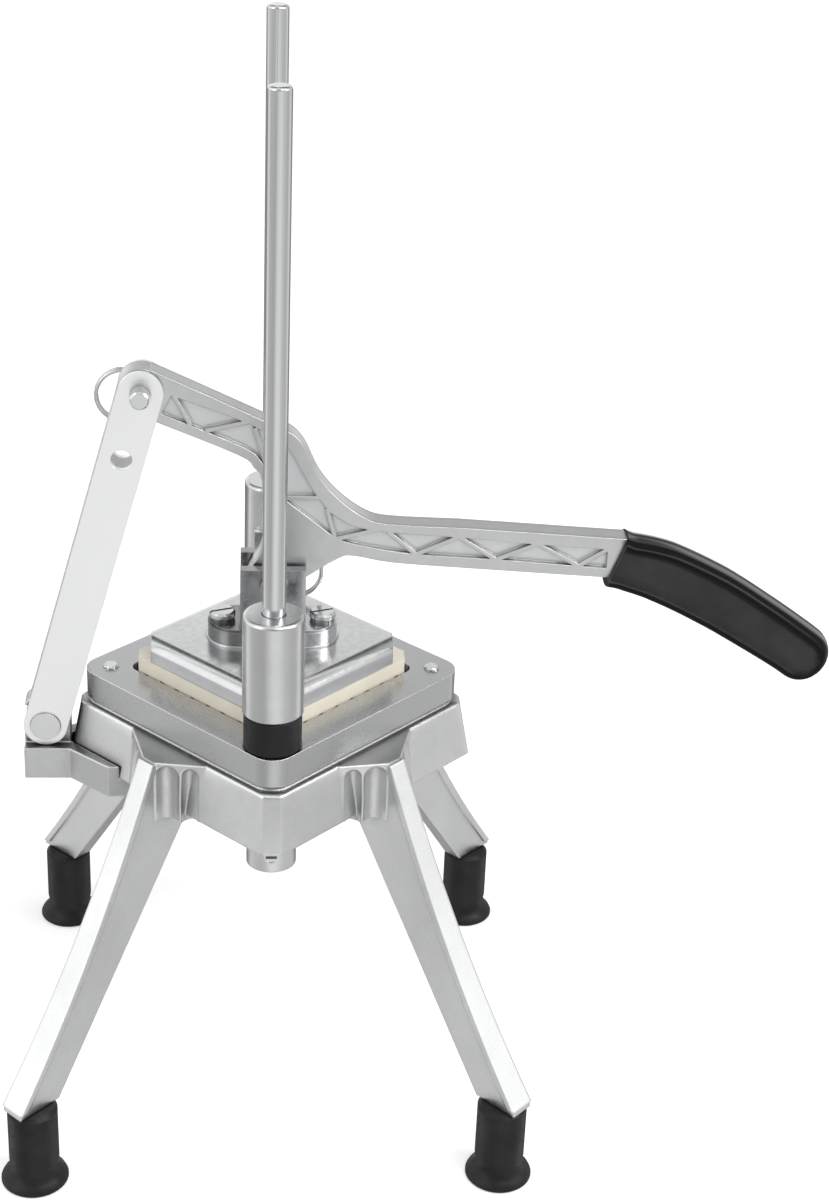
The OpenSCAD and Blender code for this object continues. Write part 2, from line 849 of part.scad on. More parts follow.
// Bracket of the link, under the left corner of the skirt

module bracket_plan() {
    wall_x = bracket_arm_end - skirt_half_bottom * sqrt(2);
    toe_x = bracket_screw_x + bracket_boss_r;
    polygon([
        [bracket_left_x, -bracket_half_w], [bracket_left_x, bracket_half_w],
        [-skirt_reach - arm_wall_gap, bracket_half_w], [wall_x - bracket_arm_t, bracket_arm_end],
        [toe_x, bracket_arm_end], [toe_x, -bracket_arm_end],
        [wall_x - bracket_arm_t, -bracket_arm_end], [-skirt_reach - arm_wall_gap, -bracket_half_w]]);
}

// The ear between the link bars, with rounded top corners
module bracket_lug() {
    lug_w = link_w + 2 * link_foot_gap;
    lug_top = link_low_at[1] + lug_up;
    translate([bracket_left_x, bracket_bottom])
        square([lug_w, lug_top - lug_round - bracket_bottom]);
    translate([bracket_left_x + lug_round, bracket_bottom])
        square([lug_w - 2 * lug_round, lug_top - bracket_bottom]);
    for (x = [lug_round, lug_w - lug_round])
        translate([bracket_left_x + x, lug_top - lug_round])
            circle(lug_round);
}

module link_bracket() {
    color(cast_colour)
        difference() {
            union() {
                translate([0, 0, bracket_bottom])
                    linear_extrude(bracket_top - bracket_bottom)
                        bracket_plan();
                upright(-lug_half, lug_half)
                    bracket_lug();
            }
            upright(-lug_half - over, lug_half + over)
                translate(link_low_at)
                    rotate(slot_turn) {
                        circle(slot_half);
                        translate([0, -slot_half])
                            square([link_w * 2, 2 * slot_half]);
                    }
            rotate([0, 0, 45]) {
                translate([0, 0, skirt_bottom - arm_wall_gap])
                    linear_extrude(skirt_height)
                        skirt_plan(skirt_half_bottom + arm_wall_gap, skirt_corner_r + arm_wall_gap);
                translate([0, 0, bracket_bottom - over])
                    linear_extrude(skirt_height)
                        rounded_square(opening_half + chute_gap, chute_corner_r);
            }
            translate([-stud_reach, 0, bracket_bottom - over])
                cylinder(h = skirt_height, r = nut_window_r);
            for (side = [-1, 1])
                translate([bracket_screw_x, side * bracket_screw_y, bracket_bottom - over])
                    cylinder(h = skirt_height, r = bracket_screw_r + seat_fit, $fn = 32);
        }
}

module slotted_screw(length, r, head_r, head_h) {
    cylinder(h = length, r = r, $fn = 32);
    translate([0, 0, -head_h])
        difference() {
            union() {
                translate([0, 0, head_h / 3])
                    cylinder(h = head_h * 2 / 3, r = head_r, $fn = 48);
                cylinder(h = head_h / 3, r1 = head_r - head_h / 3, r2 = head_r, $fn = 48);
            }
            translate([-head_r - over, -screw_slot_w / 2, -over])
                cube([2 * (head_r + over), screw_slot_w, screw_slot_d + over]);
        }
}

module bracket_screws() {
    color(steel_colour)
        for (side = [-1, 1])
            translate([bracket_screw_x, side * bracket_screw_y, bracket_bottom])
                slotted_screw(bracket_screw_up + bracket_drop - seat_fit, bracket_screw_r,
                    bracket_screw_head_r, bracket_screw_head_h);
}

// Pusher head

module plateau_profile() {
    low = pusher_top;
    half_low = plateau_half;
    half_mid = plateau_half - plateau_draft;
    flat_z = low + plateau_flat;
    polygon([
        [-half_low, low], [half_low, low], [half_mid, flat_z], [-half_mid, flat_z]]);
    translate([-half_mid + plateau_round, low])
        square([2 * (half_mid - plateau_round), plateau_height]);
    for (side = [-1, 1])
        translate([side * (half_mid - plateau_round), flat_z])
            intersection() {
                circle(plateau_round);
                translate([-plateau_round, -slice])
                    square([2 * plateau_round, plateau_round + slice]);
            }
}

module head_casting() {
    color(cast_colour)
        difference() {
            union() {
                intersection() {
                    rotate([0, 0, 45])
                        upright(-plateau_half, plateau_half)
                            plateau_profile();
                    rotate([0, 0, -45])
                        upright(-plateau_half, plateau_half)
                            plateau_profile();
                    translate([-plateau_reach, -plateau_reach, pusher_top - over])
                        cube([2 * plateau_reach, 2 * plateau_reach, plateau_height + 2 * over]);
                }
                translate([0, 0, plateau_top - over])
                    linear_extrude(pad_h + over)
                        stadium(fork_end_at, fork_end_r + pad_grow);
                at_rods()
                    translate([0, 0, sleeve_bottom])
                        rotate_extrude()
                            difference() {
                                square([sleeve_r, sleeve_length]);
                                translate([sleeve_r - sleeve_round, sleeve_length - sleeve_round])
                                    difference() {
                                        square(sleeve_round + over);
                                        circle(sleeve_round, $fn = 32);
                                    }
                            }
                for (side = [0, 180])
                    rotate([0, 0, side])
                        gusset();
            }
            // Room for the bumpers, which only a wider plateau reaches
            at_rods()
                translate([0, 0, plate_top])
                    cylinder(h = bumper_height + sleeve_stop_gap / 2, r = bumper_r + bumper_relief);
            at_rods()
                translate([0, 0, sleeve_bottom - over]) {
                    cylinder(h = sleeve_length - bush_lip + over, r = bush_r + run_fit);
                    cylinder(h = sleeve_length + 2 * over, r = rod_r + lip_gap);
                }
            for (x = [-fork_screw_at, fork_screw_at])
                translate([x, 0, fork_seat - fork_screw_down])
                    cylinder(h = fork_screw_down + over, r = fork_screw_r + run_fit, $fn = 32);
            at_pusher_screws()
                translate([0, 0, pusher_top - over])
                    cylinder(h = pusher_screw_up + over, r = pusher_screw_r + run_fit, $fn = 32);
        }
}

// The web that joins a sleeve to the plateau, drawn for the back sleeve
module gusset() {
    inner = plateau_reach - gusset_in;
    wall = rod_reach - bumper_r - gusset_gap;
    rotate([0, 0, 90])
        upright(-gusset_w / 2, gusset_w / 2)
            polygon(concat(
                [[inner, plateau_top - plateau_round], [plateau_reach - plateau_round, pusher_top + seat_fit],
                 [wall, pusher_top + seat_fit], [wall, sleeve_bottom], [rod_reach, sleeve_bottom],
                 [rod_reach, sleeve_bottom + gusset_rise], [rod_reach - sleeve_r, sleeve_bottom + gusset_rise]],
                arc_between([rod_reach - sleeve_r - sleeve_round, sleeve_bottom + gusset_rise],
                    [inner, plateau_top], gusset_in / 5, 8)));
}

module stadium(at, r) {
    square([2 * at, 2 * r], center = true);
    for (x = [-at, at])
        translate([x, 0])
            circle(r);
}

module sleeve_bushings() {
    color(bronze_colour)
        at_rods()
            translate([0, 0, sleeve_bottom + bush_inset])
                difference() {
                    cylinder(h = sleeve_length - bush_lip - 2 * bush_inset, r = bush_r);
                    translate([0, 0, -over])
                        cylinder(h = sleeve_length + 2 * over, r = rod_r + run_fit);
                }
}

module at_pusher_screws() {
    at = (blades_each_side - 1.5) * blade_pitch;
    rotate([0, 0, 45])
        for (x = [-at, at])
            for (y = [-at, at])
                translate([x, y, 0])
                    children();
}

module pusher() {
    color(ivory_colour)
        difference() {
            rotate([0, 0, 45])
                translate([0, 0, pusher_bottom])
                    linear_extrude(pusher_top - pusher_bottom)
                        intersection() {
                            rounded_square(pusher_half, opening_corner_r);
                            rotate(45)
                                square(2 * pusher_reach, center = true);
                        }
            rotate([0, 0, 45])
                for (k = [0.5 : 1 : blades_each_side])
                    for (at = [-k * blade_pitch, k * blade_pitch]) {
                        translate([-plate_half, at - kerf_w / 2, pusher_bottom - over])
                            cube([2 * plate_half, kerf_w, kerf_top - pusher_bottom + over]);
                        translate([at - kerf_w / 2, -plate_half, pusher_bottom - over])
                            cube([kerf_w, 2 * plate_half, kerf_top - pusher_bottom + over]);
                    }
            at_rods()
                translate([0, 0, pusher_bottom - over])
                    cylinder(h = pusher_top - pusher_bottom + 2 * over, r = bumper_r + bumper_relief);
            at_pusher_screws() {
                translate([0, 0, pusher_bottom - over])
                    cylinder(h = kerf_top + pusher_screw_head_h + seat_fit - pusher_bottom + over,
                        r = pusher_screw_head_r + seat_fit, $fn = 32);
                translate([0, 0, pusher_bottom])
                    cylinder(h = pusher_top - pusher_bottom + over, r = pusher_screw_r + seat_fit, $fn = 32);
            }
        }
}

module pusher_screws() {
    seat = kerf_top + pusher_screw_head_h;
    color(steel_colour)
        at_pusher_screws()
            translate([0, 0, seat])
                slotted_screw(pusher_top + pusher_screw_up - seat - seat_fit, pusher_screw_r,
                    pusher_screw_head_r, pusher_screw_head_h);
}

// Fork on the head

module lever_fork() {
    hollow_w = fork_ear_w - 2 * ear_strip;
    hollow_r = (hollow_w * hollow_w / 4 + ear_hollow * ear_hollow) / (2 * ear_hollow);
    color(cast_colour)
        difference() {
            union() {
                translate([0, 0, fork_seat])
                    linear_extrude(fork_flange_t - fork_chamfer)
                        stadium(fork_end_at, fork_end_r);
                translate([0, 0, fork_flange_top - fork_chamfer])
                    linear_extrude(fork_chamfer)
                        stadium(fork_end_at, fork_end_r - fork_chamfer);
                for (side = [-1, 1])
                    translate([-fork_ear_w / 2, side * (fork_gap + fork_ear_t) / 2 - fork_ear_t / 2, fork_seat])
                        cube([fork_ear_w, fork_ear_t, fork_ear_top - fork_seat]);
            }
            for (side = [-1, 1])
                translate([0, side * (fork_ear_out + hollow_r - ear_hollow), fork_flange_top])
                    cylinder(h = fork_ear_top - fork_flange_top + over, r = hollow_r, $fn = 96);
            upright(-fork_ear_out - over, fork_ear_out + over)
                translate(fork_at)
                    circle(pin_r + run_fit);
            for (x = [-fork_screw_at, fork_screw_at])
                translate([x, 0, fork_seat - over])
                    cylinder(h = fork_flange_t + 2 * over, r = fork_screw_r + seat_fit, $fn = 32);
        }
}

module fork_screws() {
    color(steel_colour)
        for (x = [-fork_screw_at, fork_screw_at])
            translate([x, 0, fork_flange_top + washer_t])
                rotate([180, 0, 20])
                    slotted_screw(washer_t + fork_flange_t + fork_screw_down - seat_fit, fork_screw_r,
                        screw_head_dia / 2, screw_head_h);
}

// Split lock washers
module fork_washers() {
    color(dark_steel_colour)
        for (x = [-fork_screw_at, fork_screw_at])
            translate([x, 0, fork_flange_top])
                difference() {
                    cylinder(h = washer_t, r = washer_r, $fn = 48);
                    translate([0, 0, -over])
                        cylinder(h = washer_t + 2 * over, r = fork_screw_r + seat_fit, $fn = 32);
                    rotate([20, 0, -60])
                        translate([0, -seat_fit * 2, -washer_t])
                            cube([washer_r + over, seat_fit * 4, 3 * washer_t]);
                }
}

// A pin along Y with a cross hole for its ring; its head, if any, is in front
module ring_pin(front, back, head_r, head_t, turn) {
    difference() {
        union() {
            rotate([-90, 0, 0])
                translate([0, 0, front])
                    rotate_extrude($fn = 48)
                        polygon([
                            [0, 0], [pin_r - pin_chamfer, 0], [pin_r, pin_chamfer],
                            [pin_r, back - front - pin_chamfer], [pin_r - pin_chamfer, back - front],
                            [0, back - front]]);
            if (head_r > 0)
                rotate([-90, 0, 0])
                    translate([0, 0, front])
                        cylinder(h = head_t, r = head_r, $fn = 48);
        }
        translate([0, back - pin_tail + ring_hole_r - pin_chamfer, 0])
            rotate([0, 90 - turn, 0])
                rotate([0, 90, 0])
                    cylinder(h = 4 * pin_r, r = ring_hole_r, center = true, $fn = 32);
    }
}

// Centre line of a split ring beside its pin, and the tube along it
function ring_point(k, turn) = let (a = ring_start + 360 * k / ring_steps)
    [ring_r * (cos(turn) + cos(a + turn)), ring_pitch * (k / ring_steps - ring_mid),
     ring_r * (sin(turn) + sin(a + turn))];

function ring_section(k, turn) = let (a = ring_start + 360 * k / ring_steps + turn)
    [for (j = [0 : ring_sides - 1]) let (b = 360 * j / ring_sides)
        ring_point(k, turn) + ring_wire_r * [cos(b) * cos(a), sin(b), cos(b) * sin(a)]];

module split_ring(turn) {
    count = ring_turns * ring_steps;
    points = [for (k = [0 : count]) each ring_section(k, turn)];
    sides = [for (k = [0 : count - 1]) for (j = [0 : ring_sides - 1])
        let (a = k * ring_sides + j, b = k * ring_sides + (j + 1) % ring_sides)
        each [[a, b, b + ring_sides], [a, b + ring_sides, a + ring_sides]]];
    first = [for (j = [1 : ring_sides - 2]) [0, j + 1, j]];
    end = count * ring_sides;
    last = [for (j = [1 : ring_sides - 2]) [end, end + j, end + j + 1]];
    polyhedron(points, concat(sides, first, last));
}

// Least gap of a ring's tube to itself, measured between points a turn apart
ring_gap = min([for (k = [0 : ring_steps * (ring_turns - 1)])
    norm(ring_point(k + ring_steps, 0) - ring_point(k, 0))]) - ring_wire;
echo(ring_gap = ring_gap);

fork_pin_back = fork_ear_out + 2 * ring_hole_r + pin_tail / 2;
fork_ring_y = fork_pin_back - pin_tail + ring_hole_r - pin_chamfer;
link_pin_back = link_out + 2 * ring_hole_r + pin_tail / 2;
link_ring_y = link_pin_back - pin_tail + ring_hole_r - pin_chamfer;

module fork_pin() {
    color(steel_colour)
        translate([fork_at[0], 0, fork_at[1]])
            ring_pin(-fork_ear_out - pin_gap - pin_head_t, fork_pin_back, pin_head_r, pin_head_t, fork_ring_turn);
}

module fork_ring() {
    color(steel_colour)
        translate([fork_at[0], fork_ring_y, fork_at[1]])
            split_ring(fork_ring_turn);
}

// Lever

module lever_outline() {
    end_n = rotated([0, 1], grip_lean);
    polygon(concat(
        smooth(lever_pts(lever_top_shares), smooth_steps),
        [grip_at + end_n * grip_end_up, grip_at - end_n * grip_end_down],
        smooth(lever_pts(lever_low_shares), smooth_steps),
        [[0, 0]],
        smooth(lever_pts(lever_trunk_shares), smooth_steps)));
    circle(lobe_r);
    translate([-arm_reach, arm_rise])
        circle(arm_end_r);
}

module lever_pocket() {
    difference() {
        polygon(concat(
            smooth(lever_pts(pocket_top_shares), smooth_steps),
            smooth(lever_pts(pocket_low_shares), smooth_steps),
            smooth(lever_pts(pocket_trunk_shares), smooth_steps)));
        for (rib = rib_shares)
            polygon(strip(lever_pt(rib[0]), lever_pt(rib[1]), rib_w));
    }
}

module lever_casting() {
    half = lever_thick / 2;
    color(cast_colour)
        translate([fork_at[0], 0, fork_at[1]])
            difference() {
                union() {
                    upright(-half, half)
                        lever_outline();
                    translate([grip_at[0], 0, grip_at[1]])
                        rotate([0, -grip_lean, 0])
                            translate([-tang_t, -tang_t / 2, -tang_h / 2])
                                cube([tang_length + tang_t, tang_t, tang_h]);
                }
                for (y = [-half - over, web_thick / 2])
                    upright(y, y + half - web_thick / 2 + over)
                        lever_pocket();
                upright(-half - over, half + over) {
                    circle(pin_r + run_fit);
                    translate([-arm_reach, arm_rise])
                        circle(pin_r + run_fit);
                }
            }
}

// Grip: rounded sections along its bent centre line

grip_centres = smooth([for (s = grip_path_shares) s * grip_length], smooth_steps);
function grip_size_at(k) = let (i = floor(k / smooth_steps), t = k / smooth_steps - i)
    grip_size_shares[i] + (grip_size_shares[min(i + 1, len(grip_size_shares) - 1)] - grip_size_shares[i]) * t;
function grip_way(k) = let (last = len(grip_centres) - 1,
    d = grip_centres[min(k + 1, last)] - grip_centres[max(k - 1, 0)]) k == 0 ? rotated([1, 0], grip_lean) : d / norm(d);

// One ring of points: centre, direction of the way, half height, half width
function grip_ring(c, d, h, w) = [for (j = [0 : grip_sides - 1]) let (a = 360 * j / grip_sides,
    u = sign(cos(a)) * pow(abs(cos(a)), 2 / grip_round) * h,
    v = sign(sin(a)) * pow(abs(sin(a)), 2 / grip_round) * w)
    [c[0] - d[1] * u, v, c[1] + d[0] * u]];

module grip_body() {
    last = len(grip_centres) - 1;
    body = [for (k = [0 : last])
        grip_ring(grip_centres[k], grip_way(k), grip_size_at(k) * grip_h / 2, grip_size_at(k) * grip_w / 2)];
    end_h = grip_size_at(last) * grip_h / 2;
    end_w = grip_size_at(last) * grip_w / 2;
    cap = [for (k = [1 : grip_cap_steps]) let (a = 88 * k / grip_cap_steps)
        grip_ring(grip_centres[last] + grip_way(last) * end_h * sin(a), grip_way(last), end_h * cos(a), end_w * cos(a))];
    rings = concat(body, cap);
    count = len(rings);
    points = [for (ring = rings) each ring];
    sides = [for (k = [0 : count - 2]) for (j = [0 : grip_sides - 1])
        let (a = k * grip_sides + j, b = k * grip_sides + (j + 1) % grip_sides)
        each [[a, b + grip_sides, b], [a, a + grip_sides, b + grip_sides]]];
    first = [for (j = [1 : grip_sides - 2]) [0, j, j + 1]];
    end = (count - 1) * grip_sides;
    last_face = [for (j = [1 : grip_sides - 2]) [end, end + j + 1, end + j]];
    polyhedron(points, concat(sides, first, last_face));
}

module grip() {
    color(rubber_colour)
        translate([fork_at[0] + grip_at[0], 0, fork_at[1] + grip_at[1]])
            difference() {
                grip_body();
                rotate([0, -grip_lean, 0])
                    translate([-over, -tang_t / 2 - seat_fit, -tang_h / 2 - seat_fit])
                        cube([tang_length + over + seat_fit, tang_t + 2 * seat_fit, tang_h + 2 * seat_fit]);
            }
}

// Link

module link_bar(side) {
    inner = side * link_in;
    outer = side * link_out;
    head_in = side * (link_out - link_recess);
    head_out = side * (link_out + over);
    color(cast_colour)
        difference() {
            upright(min(inner, outer), max(inner, outer))
                difference() {
                    translate(link_low_at)
                        rotate(-link_lean) {
                            translate([-link_w / 2, 0])
                                square([link_w, link_length]);
                            circle(link_w / 2);
                            translate([0, link_length])
                                circle(link_w / 2);
                        }
                    translate(link_low_at)
                        circle(pin_r + run_fit);
                    translate(link_top_at)
                        circle(pin_r + run_fit);
                    translate(link_low_at)
                        rotate(-link_lean)
                            translate([0, link_length - spare_hole_at])
                                circle(spare_hole_r);
                }
            upright(min(head_in, head_out), max(head_in, head_out))
                translate(link_low_at)
                    circle(link_head_r + seat_fit);
        }
}

module link_bar_front() {
    link_bar(-1);
}

module link_bar_back() {
    link_bar(1);
}

module link_lower_pin() {
    seat = link_out - link_recess;
    color(steel_colour)
        translate([link_low_at[0], 0, link_low_at[1]])
            rotate([-90, 0, 0]) {
                cylinder(h = 2 * seat, r = pin_r, center = true);
                for (side = [-1, 1])
                    translate([0, 0, side * (seat + link_head_t / 2)])
                        cylinder(h = link_head_t, r = link_head_r, center = true);
            }
}

module link_upper_pin() {
    color(steel_colour)
        translate([link_top_at[0], 0, link_top_at[1]])
            ring_pin(-link_out - upper_pin_front, link_pin_back, 0, 0, link_ring_turn);
}

module link_ring() {
    color(steel_colour)
        translate([link_top_at[0], link_ring_y, link_top_at[1]])
            split_ring(link_ring_turn);
}

base_casting();
rubber_feet();
foot_screws();
guide_rod_front();
guide_rod_back();
rod_set_screws();
rod_bumpers();
blade_plate();
upper_blades();
lower_blades();
plate_studs();
thumb_nuts();
link_bracket();
bracket_screws();
head_casting();
sleeve_bushings();
lever_fork();
fork_screws();
fork_washers();
fork_pin();
fork_ring();
pusher();
pusher_screws();
lever_casting();
grip();
link_bar_front();
link_bar_back();
link_lower_pin();
link_upper_pin();
link_ring();
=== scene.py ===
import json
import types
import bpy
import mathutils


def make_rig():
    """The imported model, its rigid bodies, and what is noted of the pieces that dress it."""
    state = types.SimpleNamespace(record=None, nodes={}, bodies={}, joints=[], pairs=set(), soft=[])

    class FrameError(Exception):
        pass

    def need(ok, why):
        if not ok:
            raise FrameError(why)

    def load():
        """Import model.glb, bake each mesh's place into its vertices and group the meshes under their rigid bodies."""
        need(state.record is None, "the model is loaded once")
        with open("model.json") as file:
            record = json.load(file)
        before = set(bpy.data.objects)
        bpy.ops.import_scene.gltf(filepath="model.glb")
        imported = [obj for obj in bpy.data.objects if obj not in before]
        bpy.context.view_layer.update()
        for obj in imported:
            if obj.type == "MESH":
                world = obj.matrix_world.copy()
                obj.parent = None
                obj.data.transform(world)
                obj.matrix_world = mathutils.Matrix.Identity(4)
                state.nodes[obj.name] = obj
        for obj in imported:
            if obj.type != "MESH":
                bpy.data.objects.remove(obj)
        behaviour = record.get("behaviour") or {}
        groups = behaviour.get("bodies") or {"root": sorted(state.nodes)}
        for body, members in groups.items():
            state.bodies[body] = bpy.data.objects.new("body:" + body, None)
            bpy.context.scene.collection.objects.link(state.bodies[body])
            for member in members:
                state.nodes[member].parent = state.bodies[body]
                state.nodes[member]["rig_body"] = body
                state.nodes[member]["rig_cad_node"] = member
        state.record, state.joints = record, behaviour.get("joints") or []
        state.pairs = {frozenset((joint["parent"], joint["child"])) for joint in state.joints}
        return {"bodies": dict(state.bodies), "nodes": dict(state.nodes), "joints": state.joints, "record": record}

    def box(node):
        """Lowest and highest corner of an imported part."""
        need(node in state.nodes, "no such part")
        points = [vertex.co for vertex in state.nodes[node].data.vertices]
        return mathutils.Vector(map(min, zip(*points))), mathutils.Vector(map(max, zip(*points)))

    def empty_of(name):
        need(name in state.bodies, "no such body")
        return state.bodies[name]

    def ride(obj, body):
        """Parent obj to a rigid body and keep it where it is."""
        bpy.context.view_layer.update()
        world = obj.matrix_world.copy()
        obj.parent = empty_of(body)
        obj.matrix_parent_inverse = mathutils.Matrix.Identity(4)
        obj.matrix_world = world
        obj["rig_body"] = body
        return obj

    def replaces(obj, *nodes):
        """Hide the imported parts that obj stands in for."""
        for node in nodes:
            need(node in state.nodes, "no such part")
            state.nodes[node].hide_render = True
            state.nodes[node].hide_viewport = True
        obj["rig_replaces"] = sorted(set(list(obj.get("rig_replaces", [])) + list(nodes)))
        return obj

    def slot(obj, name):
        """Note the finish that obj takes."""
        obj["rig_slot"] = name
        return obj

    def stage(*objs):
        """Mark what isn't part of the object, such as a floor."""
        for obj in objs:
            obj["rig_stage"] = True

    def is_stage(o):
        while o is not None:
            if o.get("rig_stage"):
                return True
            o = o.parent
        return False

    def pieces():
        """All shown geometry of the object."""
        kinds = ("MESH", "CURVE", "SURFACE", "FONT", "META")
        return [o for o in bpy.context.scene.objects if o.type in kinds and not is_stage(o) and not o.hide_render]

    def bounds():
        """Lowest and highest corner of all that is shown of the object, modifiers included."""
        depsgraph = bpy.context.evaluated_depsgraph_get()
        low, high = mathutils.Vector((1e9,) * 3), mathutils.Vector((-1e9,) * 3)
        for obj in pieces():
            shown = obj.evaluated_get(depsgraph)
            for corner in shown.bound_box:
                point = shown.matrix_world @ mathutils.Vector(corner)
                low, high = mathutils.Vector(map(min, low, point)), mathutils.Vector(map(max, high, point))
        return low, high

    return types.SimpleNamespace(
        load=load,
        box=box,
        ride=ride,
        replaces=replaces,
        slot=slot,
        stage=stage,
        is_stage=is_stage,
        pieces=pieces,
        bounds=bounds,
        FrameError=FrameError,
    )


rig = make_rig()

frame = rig.load()

import json
import math

import bmesh
import bpy
from bpy.props import FloatProperty, FloatVectorProperty, PointerProperty
from mathutils import Matrix, Vector

CAD_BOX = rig.bounds()

bl_info = {
    "name": "Fry cutter finishes",
    "version": (1, 0, 0),
    "blender": (4, 5, 0),
    "location": "3D View > Sidebar > Fry Cutter",
    "description": "Dresses a lever fry cutter in cast, ground and polished finishes",
    "category": "Object",
}

MM = 0.001
GRIP_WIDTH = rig.box("grip")[1][1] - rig.box("grip")[0][1]
PHOTO_SIZE = (829, 1200)
SENSOR_MM = 36

# The grip from its mouth to its tip: centre line as shares of the length, half height as shares of
# the largest one, and the lean of the mouth
GRIP_WAY = (
    (0, 0), (0.040, -0.012), (0.194, -0.058), (0.407, -0.163), (0.595, -0.279),
    (0.740, -0.375), (0.812, -0.427),
)
GRIP_SIZE = (0.94, 0.91, 0.99, 1.0, 0.965, 0.93, 0.92)
GRIP_LEAN = math.radians(-20.5)
# Sections between two points of the centre line, sections round the tip, and where those stop
GRIP_STEPS = 6
GRIP_CAP = 12
GRIP_CAP_END = math.radians(88.5)
# Faces over a bead, and down its slope to the flank
BEAD_STEPS = 9
SLOPE_STEPS = 6
# Name of the mesh attribute that is 1 on the grip's flanks and 0 on its beads
FLANK = "flank"

# Degrees between two faces over which an edge is shaded sharp
CRISP = 32
CRISP_BLADE = 20
CRISP_ROUND = 40
CRISP_MOUTH = 50
CRISP_RING = 70
WELD_REACH = 0.002 * MM

# Range that most of a noise texture's values lie in
NOISE_LOW, NOISE_HIGH = 0.3, 0.7
EDGE_SAMPLES = 6
CREVICE_SAMPLES = 8
# Colour of the painted highlight where an edge turns
EDGE_HIGHLIGHT = (0.97, 0.97, 0.97, 1)

# Brightness of the studio by bearing: 0 and 1 are the link's side, 0.25 the front, 0.5 the grip's
# side and 0.75 the back
ROOM_FLOOR = (
    (0.0, 0.49), (0.06, 0.43), (0.11, 0.41), (0.16, 0.40), (0.21, 0.60), (0.25, 0.71), (0.31, 0.70),
    (0.37, 0.54), (0.44, 0.46), (0.5, 0.44), (0.53, 0.60), (0.56, 0.74), (0.60, 0.27), (0.67, 0.16),
    (0.75, 0.45), (0.83, 0.16), (0.90, 0.27), (0.94, 0.76), (0.97, 0.64), (1.0, 0.49),
)
ROOM_LOW = (
    (0.0, 1.0), (0.08, 0.90), (0.17, 0.46), (0.25, 0.27), (0.33, 0.40), (0.42, 0.56), (0.5, 0.58),
    (0.58, 0.55), (0.65, 0.48), (0.71, 0.64), (0.75, 0.77), (0.79, 0.90), (0.85, 0.68),
    (0.92, 0.76), (1.0, 1.0),
)
ROOM_HIGH = (
    (0.0, 0.76), (0.12, 0.60), (0.25, 0.50), (0.38, 0.56), (0.5, 0.64), (0.60, 0.36), (0.67, 0.09),
    (0.75, 0.05), (0.83, 0.09), (0.90, 0.38), (1.0, 0.76),
)
# Each ring of the studio takes over from the one below it between two heights, which are sines of
# the angle of rise
LOW_FROM, LOW_TO = -0.24, -0.06
HIGH_FROM, HIGH_TO = 0.50, 0.62
CEILING_FROM, CEILING_TO = 0.80, 0.95
CEILING = 0.67


class FryCutterColours(bpy.types.PropertyGroup):
    """Colours of the bare metal, rubber and plastic"""

    casting: FloatVectorProperty(
        name="Casting", description="Satin cast aluminium of the base",
        subtype="COLOR", min=0, max=1, default=(0.74, 0.745, 0.75))
    bracket: FloatVectorProperty(
        name="Bracket", description="Duller cast aluminium of the link bracket",
        subtype="COLOR", min=0, max=1, default=(0.59, 0.595, 0.60))
    plate: FloatVectorProperty(
        name="Plate", description="Ground aluminium of the blade plate",
        subtype="COLOR", min=0, max=1, default=(0.53, 0.535, 0.54))
    head: FloatVectorProperty(
        name="Head", description="Polished casting of the head and its sleeves",
        subtype="COLOR", min=0, max=1, default=(0.62, 0.625, 0.63))
    lever: FloatVectorProperty(
        name="Lever", description="Cast aluminium of the lever",
        subtype="COLOR", min=0, max=1, default=(0.60, 0.605, 0.61))
    link: FloatVectorProperty(
        name="Link bars", description="Pale satin aluminium of the link bars",
        subtype="COLOR", min=0, max=1, default=(0.96, 0.965, 0.97))
    steel: FloatVectorProperty(
        name="Steel", description="Bright steel of the rods, pins and screws",
        subtype="COLOR", min=0, max=1, default=(0.64, 0.645, 0.65))
    fork: FloatVectorProperty(
        name="Fork", description="Grey steel of the fork that holds the lever",
        subtype="COLOR", min=0, max=1, default=(0.42, 0.425, 0.43))
    dark_steel: FloatVectorProperty(
        name="Dark steel", description="Dull steel of the washers and set screws",
        subtype="COLOR", min=0, max=1, default=(0.30, 0.305, 0.31))
    bronze: FloatVectorProperty(
        name="Bronze", description="Bushings inside the sleeves",
        subtype="COLOR", min=0, max=1, default=(0.52, 0.36, 0.17))
    rubber: FloatVectorProperty(
        name="Rubber", description="Black rubber of the feet and the bumpers",
        subtype="COLOR", min=0, max=1, default=(0.009, 0.009, 0.010))
    grip: FloatVectorProperty(
        name="Grip", description="Black dipped plastic of the grip",
        subtype="COLOR", min=0, max=1, default=(0.009, 0.009, 0.0095))
    ivory: FloatVectorProperty(
        name="Ivory", description="Moulded plastic of the pusher",
        subtype="COLOR", min=0, max=1, default=(0.76, 0.71, 0.60))


class FryCutterDetails(bpy.types.PropertyGroup):
    """Rounding of the edges, and the depth of the lever's web"""

    cast_edge: FloatProperty(
        name="Casting edge", description="Rounding of the edges of the sand castings",
        unit="LENGTH", min=0, max=0.004, default=1.3 * MM)
    head_edge: FloatProperty(
        name="Head edge", description="Rounding of the edges of the polished head",
        unit="LENGTH", min=0, max=0.004, default=0.9 * MM)
    lever_edge: FloatProperty(
        name="Lever edge", description="Rounding of the lever's outer edges and ribs",
        unit="LENGTH", min=0, max=0.002, default=0.8 * MM)
    machined_edge: FloatProperty(
        name="Machined edge", description="Broken edge of the plate, the fork and the bars",
        unit="LENGTH", min=0, max=0.001, default=0.4 * MM)
    web_half: FloatProperty(
        name="Web", description="Distance from the middle below which the lever's face is its web",
        unit="LENGTH", min=0.001, max=0.006, default=3.2 * MM)


